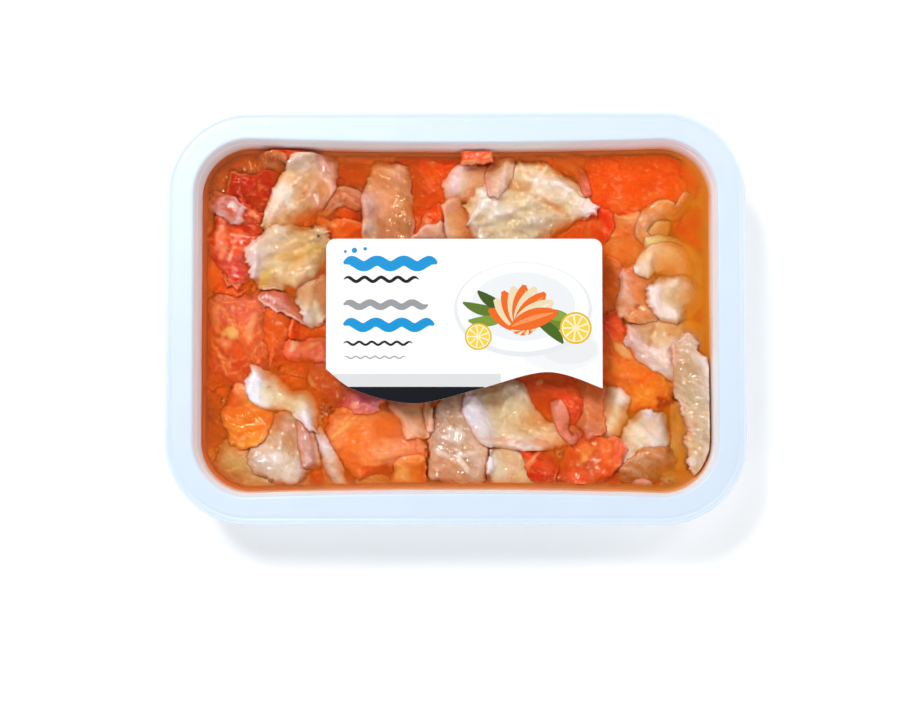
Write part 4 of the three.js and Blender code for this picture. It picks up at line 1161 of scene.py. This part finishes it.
def label_outline(inset):
    """The label's outline: rounded upper corners, and the wave through its points as lower edge."""
    left, right, top, r = (LABEL_BOX[key] for key in ("left", "right", "top", "radius"))
    wave = spline(LABEL_WAVE, np.linspace(0, 1, 120)) + [0, inset]
    wave[:, 0] = np.clip(wave[:, 0], left + inset, right - inset)
    a = np.linspace(0, math.pi / 2, 10)
    along, up = (r - inset) * np.cos(a), (r - inset) * np.sin(a)
    return np.concatenate([wave, np.stack([right - r + along, top - r + up], 1),
                           np.stack([left + r - up, top - r + along], 1)])


def under_wave(x):
    """A hair above the label's lower edge, at a place along it."""
    wave = spline(LABEL_WAVE, np.linspace(0, 1, 400))
    return np.interp(x, wave[:, 0], wave[:, 1]) + 0.02


def ribbon(x, y, width):
    """The outline of a band of that width along a line of points."""
    line = np.stack([x, y], 1).astype(float)
    ahead = np.gradient(line, axis=0)
    ahead /= np.hypot(*ahead.T)[:, None]
    normal = np.stack([-ahead[:, 1], ahead[:, 0]], 1) * (width / 2)[:, None]
    return np.concatenate([line - normal, (line + normal)[::-1]])


def oval(cx, cy, rx, ry, start=0.0, stop=360.0, steps=48):
    """An oval's outline, or an arc of it."""
    a = np.radians(np.linspace(start, stop, steps, endpoint=stop - start < 360))
    return np.stack([cx + rx * np.cos(a), cy + ry * np.sin(a)], 1)


def petal(cx, cy, length, width, degrees, curl):
    """A leaf shape from a point: widths by the sine of the way along, bent by curl."""
    t = np.linspace(0, 1, 24)
    w = width * np.sin(math.pi * np.clip(t, 0.02, 0.98)) ** 0.6
    outline = ribbon(t * length, curl * length * t * (1 - t), w)
    return np.stack(turned(outline[:, 0], outline[:, 1], -degrees), 1) + [cx, cy]


def on_plate(y, along, up, degrees):
    """The place on the plate that far along and up from its middle at height y, by an angle."""
    a = math.radians(degrees)
    return PLATE_X + along * math.cos(a), y + up * math.sin(a)


def label_print():
    """Everything printed on the label, as (outline, colour), from the back to the front.

    A plain design: fields along the wave, water lines, and a plate with a fan of slices, lemon
    wheels and sprigs.
    """
    shapes = []
    for start, stop, lowest, top, shade in ((LABEL_BOX["left"] + 0.1, 14.8, -18.7, -18.6, "DCDDDE"),
                                            (-35.2, 9.3, -22.8, -22.8, "10131A")):
        x = np.linspace(start, stop, 80)
        x = x[under_wave(x) < lowest]
        shapes.append((np.concatenate([np.stack([x, under_wave(x)], 1),
                                       np.stack([x, np.full(len(x), top)], 1)[::-1]]), shade))
    # the plate's shadow, and the plate
    for cx, cy, rx, ry, shade in ((34, -10.5, 13, 26 / 3.6, "F0F1F2"), (37, -10.5, 9, 5, "E9EAEC"),
                                  (PLATE_X, 2.5, 22.5, 15.5, "E4E7EA"),
                                  (PLATE_X, 3.2, 21.5, 14.6, "F6F7F8"),
                                  (PLATE_X, 3.4, 17, 11.2, "EBEDEF")):
        shapes.append((oval(cx, cy, rx, ry), shade))
    for turn, length, shade in ((168, 15, "5E7A2C"), (188, 13, "7E9A3A"), (150, 12, "40591E"),
                                (-24, 13, "6C8A30"), (-40, 12, "4A6822"), (-8, 11, "88A444")):
        shapes.append((petal(*on_plate(1, 5, 3, turn), length, 3.6, turn, 0.3), shade))
    for k, turn in enumerate(np.linspace(158, 18, 9)):
        shade, light = (("EE6A22", "F8965A") if k % 2 == 0 else ("EAD9B4", "F6ECD6"))
        x, y = on_plate(-2.5, -4.5, -3.5, turn)
        shapes.append((petal(x, y, 16.5, 6.4, turn, 0.12), shade))
        shapes.append((petal(x + 0.6, y + 0.5, 14.2, 1.5, turn, 0.12), light))
    for cx, cy, r in ((39.2, -3.6, 5.2), (7.4, -6.4, 4.4)):
        shapes.append((oval(cx, cy, r, r), "E8B820"))
        shapes.append((oval(cx, cy, r * 0.88, r * 0.88), "FBF1C8"))
        for a in range(0, 360, 40):
            tip = oval(cx, cy, r * 0.12, r * 0.12, a, a, 1)
            edge = oval(cx, cy, r * 0.8, r * 0.8, a - 15, a + 15, 7)
            shapes.append((np.concatenate([tip, edge]), "F2CF48"))
    t = np.linspace(0, 1, 90)
    taper = np.clip(np.minimum(t, 1 - t) * 12, 0.08, 1) ** 0.5
    for y, height, width, waves, shade, end in (
            (17.5, 0.9, 3.4, 3.5, "1295D5", -6), (12.3, 0.7, 1.1, 4.5, "15171C", -12),
            (4.0, 0.7, 2.2, 4.0, "9A9C9F", -9), (-2.6, 0.9, 3.0, 3.5, "1295D5", -7),
            (-8.6, 0.5, 0.8, 5.5, "2A2C30", -14), (-13.2, 0.35, 0.5, 6.5, "A8AAAC", -16)):
        line = ribbon(-36.5 + t * (end + 36.5), y + height * np.sin(2 * math.pi * waves * t),
                      width * taper)
        shapes.append((line, shade))
    for cx, cy, r in ((-33, 21.8, 0.9), (-29.5, 22.3, 0.6), (-36, 21.4, 0.5)):
        shapes.append((oval(cx, cy, r, r, steps=20), "1295D5"))
    return shapes


def build_label():
    """The label's white sheet, and its printed shapes as thin plates on it.

    Each shape stands one step above the highest one that it overlaps, by their boxes.
    """
    size = sizes()
    low = size["height"] + size["film"]
    face = low + size["label"] - 0.1
    points, faces = loft([raised(label_outline(inset), z) for inset, z in
                          ((0.0, low), (0.0, face - 0.04), (0.05, face))])
    sheet = new_material("printed_label_film", print_shader)
    add_piece("label_sheet", points, faces, sheet, ["label"],
              {"tint": np.tile(rgb("FCFCFC"), (len(points), 1))}, flat=True)
    parts, below = [], []
    for outline, shade in label_print():
        left, right = outline.min(0), outline.max(0)
        step = 1 + max([at for a, b, at in below if np.all(a < right) and np.all(b > left)],
                       default=0)
        below.append((left, right, step))
        points, faces = loft([raised(outline, z) for z in (face - 0.02, face + INK_STEP * step)])
        parts.append((points, faces, np.tile(rgb(shade), (len(points), 1))))
    points, faces, colours = joined(parts)
    ink = new_material("printed_label_ink", print_shader)
    add_piece("label_ink", points, faces, ink, colours=colours, flat=True)


# ---- fish ----


def build_slices(flesh):
    """The named slices, from the lowest to the highest, each in the place of its solid."""
    relief = Relief(BED)
    size = sizes()
    for order, piece in enumerate(SLICES):
        node, kind = piece["name"], piece["kind"]
        points, faces, colours = lay(piece, order, relief, size["spacing"], 90, BED)
        sunk = points[:, 2].max() < size["oil_level"] + 0.5
        add_piece("slice_" + node, points, faces, flesh[kind, sunk],
                  [node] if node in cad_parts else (), {"tint": colours})
    return relief


def build_sunk(flesh, upper):
    """Slices sunk in the oil, in rows below the visible ones, one mesh for each kind.

    They are laid on a flat bed and pressed below the visible slices by a soft minimum. In the gaps
    between those, a smooth field raises them, so that they fill the gaps. Returns the relief of
    everything that lies in the oil.
    """
    random = np.random.default_rng(23)
    relief = Relief(SUNK_FLOOR)
    covered = upper.heights > BED + 0.01
    rise = sizes()["sunk_rise"] * ease(blur(1.0 - covered, 5) * 1.8 - 0.7)
    parts = {"salmon": [], "white": []}
    places = [(cx, cy, 1) for cx in np.linspace(-76, 76, 10) for cy in np.linspace(-50, 50, 7)]
    places += [(cx, cy, 0.55) for cx in np.linspace(-78, 78, 17) for cy in np.linspace(-53, 53, 12)]
    for k, (cx, cy, scale) in enumerate(places):
        middle = np.array([cx, cy]) + random.uniform(-5, 5, 2)
        cx, cy = middle
        mostly_white = (cx > 46 and cy < -18) or (cx < -40 and cy < -32) or cy < -46
        kind = "white" if random.random() < (0.6 if mostly_white else 0.08) else "salmon"
        turn, length = random.uniform(0, math.pi), random.uniform(20, 34) * scale
        step = np.array([math.cos(turn), math.sin(turn)]) * length / 2
        bow = np.array([-math.sin(turn), math.cos(turn)]) * random.uniform(-4, 4)
        tones = random.choice(SUNK_TONES[kind])
        widths = random.uniform(10, 19) * scale * np.array([0.7, 1, 0.7])
        piece = fish(kind + "_sunk", [middle - step, middle + bow, middle + step], widths, 1.6,
                     tones, fat=random.uniform(0.1, 0.6), fat_turn=random.uniform(30, 90),
                     swell=0.5, crease=0.3 if kind == "white" else 0, rag=1.0)
        points, faces, colours = lay(piece, 300 + k, relief, 1.0, 30, SUNK_FLOOR)
        ceiling = BED - SUNK_GAP
        points[:, 2] = ceiling - np.log1p(np.exp((ceiling - points[:, 2]) / 0.5)) * 0.5
        points[:, 2] += rise[tuple(relief.place(points[:, 0], points[:, 1]))]
        parts[kind].append((points, faces, colours))
    for kind in parts:
        points, faces, colours = joined(parts[kind])
        add_piece(f"sunk_{kind}_slices", points, faces, flesh[kind, True],
                  colours=colours)
    relief.heights = np.where(covered, upper.heights, np.minimum(relief.heights, BED - 1) + rise)
    relief.painted_glow = np.where(covered, upper.painted_glow, relief.painted_glow)
    return relief


# ---- oil ----


def oil_rows(offset, a, b):
    """Places in the mouth's outline at an offset, for shares a of a row's reach and b across."""
    size = sizes()
    r = CORNER_RADIUS + offset
    hx, hy = size["half_length"] + offset, size["half_width"] + offset
    y = b * hy
    past = np.maximum(0, np.abs(y) - (hy - r))  # how far a row lies in the rounded corners
    x = a * (hx - r + np.sqrt(np.maximum(0, r * r - past ** 2)))
    return x, y * (1 - bend(x) / hy)


def oil_look(relief, amber, x, y, b, offset):
    """Tint, stain and cover of the oil's surface.

    What it covers shows through by how deep it lies: colour goes as exp(-depth). The deeper it is,
    the more its own colour covers. That colour is painted: red above salmon, as the glow of the
    flesh seen through the oil, and darker where it lies deep between slices, as shade. Towards the
    right it stands clear of fish, and is amber and dense. Along the wall it hides more, and takes a
    painted colour for each side, standing in for the shade there and the light that the wall throws
    back.
    """
    size = sizes()
    i, j = relief.place(x, y)
    depth = np.maximum(0, size["oil_level"] - blur(relief.heights, 2)[i, j])
    # painted glow: the oil's colour turns red above salmon, and more so towards the left
    red = np.maximum(blur(relief.painted_glow, 12)[i, j], 0.8 * ease((66 - x) / 30))
    tint = blend(amber, rgb(PAINTED_OIL_GLOW), 0.85 * ease(red * 1.15 - 0.15))
    # painted shade: darker and redder where the oil lies deep between slices
    tint = tint * (1 - 0.6 * ease((depth - 3) / 5)[..., None] * [0.32, 0.62, 0.9])
    stain = np.exp(-np.array([0.008, 0.045, 0.17]) * depth[..., None])
    cover = 0.04 + 0.85 * (1 - np.exp(-np.maximum(0, depth - 2) / 4))
    cover = np.maximum(cover, 0.75 * ease((x - 72 + 3 * ease(-y / 30)) / 6) * ease(depth / 4))
    r = CORNER_RADIUS + offset
    dx = np.abs(x) - (size["half_length"] + offset - r)
    dy = np.abs(b * (size["half_width"] + offset)) - (size["half_width"] + offset - r)
    from_wall = r - np.hypot(np.maximum(dx, 0), np.maximum(dy, 0)) - np.minimum(
        np.maximum(dx, dy), 0)
    # painted: along the wall a colour for each side covers the deep gap, standing in for its shade
    # and the light that the wall throws back
    shore = np.exp(-(from_wall / SHORE_BAND) ** 2)
    cover = np.maximum(cover, 0.8 * shore)
    return blend(tint, by_side(x, y, SHORE_SHADE_TINTS), 0.9 * shore), stain, cover


def build_oil(relief):
    """The oil as a closed body up to its level, which reaches just into the wall.

    Its flat top is a grid of rows across the tray, each as long as the tray is there. Rings lead
    from the top's rim down the wall to one flat face.
    """
    size = sizes()
    level = size["oil_level"]
    offset = lean(level) + 0.08
    a, b = np.meshgrid(*(np.linspace(-1, 1, count) for count in OIL_GRID), indexing="ij")
    x, y = oil_rows(offset, a, b)
    index = np.arange(x.size).reshape(x.shape)
    rim = np.concatenate([index[:-1, 0], index[-1, :-1], index[:0:-1, -1], index[0, :0:-1]])
    parts = [np.stack([x, y, np.full_like(x, level)], -1).reshape(-1, 3)]
    faces, upper = [quads(index)], rim
    for k, (inset, z) in enumerate([(lean(20) + 0.08, 20), (lean(12) + 0.08, 12),
                                    (lean(6) + 0.08, 6), (lean(2.6) - 1.4, 2.6),
                                    (lean(1) - 5.5, size["wall"] - 0.05)]):
        outline = np.stack(oil_rows(inset, a.ravel()[rim], b.ravel()[rim]), 1)
        parts.append(raised(outline, z))
        lower = x.size + k * len(rim) + np.arange(len(rim))
        faces.append(np.stack([upper, lower, np.roll(lower, -1), np.roll(upper, -1)], 1))
        upper = lower
    faces.append(upper[::-1][None])
    points = np.concatenate(parts)
    amber = np.array(panel_colour("oil_colour")[:3])
    tint, stain, cover = (
        np.concatenate([top.reshape(x.size, -1), np.tile(below, (len(points) - x.size, 1))])
        for top, below in zip(oil_look(relief, amber, x, y, b, offset),
                              (amber, [0.5, 0.2, 0.05], [0.9])))
    add_piece("oil_fill", points, faces, new_material("poured_cooking_oil", oil_shader),
              ["oil"], {"tint": tint, "stain": stain}, {"cover": cover})


# ---- settings ----


def length(name, description, default_mm, low=0.0, high=500.0):
    """A length property, given here in millimetres."""
    return FloatProperty(name=name, description=description, default=default_mm * MM, min=low * MM,
                         max=high * MM, unit="LENGTH", subtype="DISTANCE", precision=4)


def colour(name, description, hex_colour):
    """A colour property with its default as sRGB hex."""
    return FloatVectorProperty(name=name, description=description, size=3, min=0, max=1,
                               default=linear(hex_colour)[:3], subtype="COLOR")


class FishPackSizes(bpy.types.PropertyGroup):
    """The pack's sizes. The tray's height and the oil's level come from their solids."""

    half_length: length("Half length", "Half the mouth's length, inside the flange", 85.5)
    half_width: length("Half width", "Half the mouth's width, inside the flange", 58.3)
    height: length("Height", "From the table to the flange's top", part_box("tray")[1].z / MM)
    wall: length("Wall", "Thickness of the tray's wall and floor", 0.9)
    oil_level: length("Oil level", "Height of the oil's surface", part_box("oil")[1].z / MM)
    film: length("Film", "Thickness of the lid film", 0.3)
    label: length("Label", "Thickness of the label", 0.2)
    spacing: length("Spacing", "Distance between a slice's points", 0.42, 0.2, 2)
    sunk_rise: length("Sunk rise", "How far sunk slices rise in gaps between visible ones", 6.2)


class FishPackColours(bpy.types.PropertyGroup):
    """The colours of tray and oil."""

    tray_colour: colour("Tray", "Colour of the moulded tray", "D3DEEA")
    oil_colour: colour("Oil", "Colour of deep oil", "E8860C")


# ---- operators ----


def link_data(name, data):
    """A new object with that data, in the scene."""
    thing = bpy.data.objects.new(name, data)
    bpy.context.scene.collection.objects.link(thing)
    return thing


def aim(thing, place, target):
    """Puts a lamp or camera at a place and points it at a target."""
    thing.location = Vector(place)
    thing.rotation_euler = (Vector(target) - Vector(place)).to_track_quat("-Z", "Y").to_euler()


class FISHPACK_OT_stage(bpy.types.Operator):
    """Lays the white board and sets up soft lights and the camera"""

    bl_idname = "fish_pack.stage"
    bl_label = "Stage"

    def execute(self, context):
        mesh = bpy.data.meshes.new("studio_board")
        corners = [(x * BOARD, y * BOARD, 0) for x, y in ((-1, -1), (1, -1), (1, 1), (-1, 1))]
        mesh.from_pydata(corners, [], [(0, 1, 2, 3)])
        mesh.materials.append(new_material("painted_studio_board", floor_shader))
        link_data("studio_board", mesh)
        for name, power, size_x, size_y, place in LAMPS:
            data = bpy.data.lights.new(name, "AREA")
            data.shape, data.size, data.size_y, data.energy = "RECTANGLE", size_x, size_y, power
            aim(link_data(name, data), place, (0, 0, 0.03))
        # a pale room, darker overhead so that the film and the oil mirror little
        world = bpy.data.worlds.new("pale_room")
        world.use_nodes = True
        tree, room = world.node_tree, world.node_tree.nodes["Background"]
        way = add(tree, "ShaderNodeTexCoord").outputs["Generated"]
        up = add(tree, "ShaderNodeSeparateXYZ", {0: way}).outputs["Z"]
        dim = add(tree, "ShaderNodeMapRange", {"Value": up, "From Min": 0.3, "From Max": 0.8,
                                               "To Min": 1.0, "To Max": 0.06}).outputs["Result"]
        room.inputs["Color"].default_value = (0.96, 0.98, 1.0, 1)
        tree.links.new(dim, room.inputs["Strength"])
        context.scene.world = world
        # seen from almost straight above, with the tray a little above the middle
        data = bpy.data.cameras.new("camera")
        data.lens, data.sensor_width, data.clip_start, data.clip_end = 85.9, 36.0, 0.01, 20
        camera = link_data("camera", data)
        target = np.array([-1.8, -12.9, 36]) * MM
        rise, far = math.radians(87), 0.7
        aim(camera, target + far * np.array([0, -math.cos(rise), math.sin(rise)]), target)
        context.scene.camera = camera
        context.scene.view_settings.view_transform = "Standard"
        return {"FINISHED"}


class FISHPACK_OT_tray(bpy.types.Operator):
    """Makes the moulded tray"""

    bl_idname = "fish_pack.tray"
    bl_label = "Tray"

    def execute(self, context):
        build_tray()
        return {"FINISHED"}


class FISHPACK_OT_fish(bpy.types.Operator):
    """Lays the visible slices, and sunk ones below and between them"""

    bl_idname = "fish_pack.fish"
    bl_label = "Fish slices"

    def execute(self, context):
        flesh = {(kind, sunk): new_material(f"sliced_smoked_{common}{'_sunk' if sunk else ''}",
                                            fish_shader, 0.0 if sunk else 1.0, SCATTER[kind])
                 for kind, common in (("salmon", "salmon"), ("white", "cod"))
                 for sunk in (False, True)}
        pile["relief"] = build_sunk(flesh, build_slices(flesh))
        return {"FINISHED"}


class FISHPACK_OT_oil(bpy.types.Operator):
    """Fills the tray with oil up to its level"""

    bl_idname = "fish_pack.oil"
    bl_label = "Oil"

    def execute(self, context):
        if "relief" not in pile:
            raise RuntimeError("lay the fish slices before the oil, which is measured from them")
        build_oil(pile["relief"])
        return {"FINISHED"}


class FISHPACK_OT_film(bpy.types.Operator):
    """Seals the tray with its clear film"""

    bl_idname = "fish_pack.film"
    bl_label = "Film"

    def execute(self, context):
        build_film()
        return {"FINISHED"}


class FISHPACK_OT_label(bpy.types.Operator):
    """Puts the printed label on the film"""

    bl_idname = "fish_pack.label"
    bl_label = "Label"

    def execute(self, context):
        build_label()
        return {"FINISHED"}


STEPS = (FISHPACK_OT_stage, FISHPACK_OT_tray, FISHPACK_OT_fish, FISHPACK_OT_oil, FISHPACK_OT_film,
         FISHPACK_OT_label)


class FISHPACK_PT_panel(bpy.types.Panel):
    """Lists the pack's settings and the steps that build it"""

    bl_idname = "FISHPACK_PT_panel"
    bl_label = "Smoked Fish Pack"
    bl_space_type = "VIEW_3D"
    bl_region_type = "UI"
    bl_category = "Fish Pack"

    def draw(self, context):
        for group in (context.scene.fish_pack_sizes, context.scene.fish_pack_colours):
            for key in group.__annotations__:
                self.layout.prop(group, key)
        for step in STEPS:
            self.layout.operator(step.bl_idname)


CLASSES = (FishPackSizes, FishPackColours, *STEPS, FISHPACK_PT_panel)


def register():
    """Adds the settings, operators and panel."""
    for item in CLASSES:
        bpy.utils.register_class(item)
    bpy.types.Scene.fish_pack_sizes = PointerProperty(type=FishPackSizes)
    bpy.types.Scene.fish_pack_colours = PointerProperty(type=FishPackColours)


def unregister():
    """Takes them away again."""
    del bpy.types.Scene.fish_pack_colours
    del bpy.types.Scene.fish_pack_sizes
    for item in reversed(CLASSES):
        bpy.utils.unregister_class(item)


def main():
    """Registers the add-on and runs its steps in order."""
    register()
    for step in STEPS:
        area, name = step.bl_idname.split(".")
        getattr(getattr(bpy.ops, area), name)()


if __name__ == "__main__":
    main()
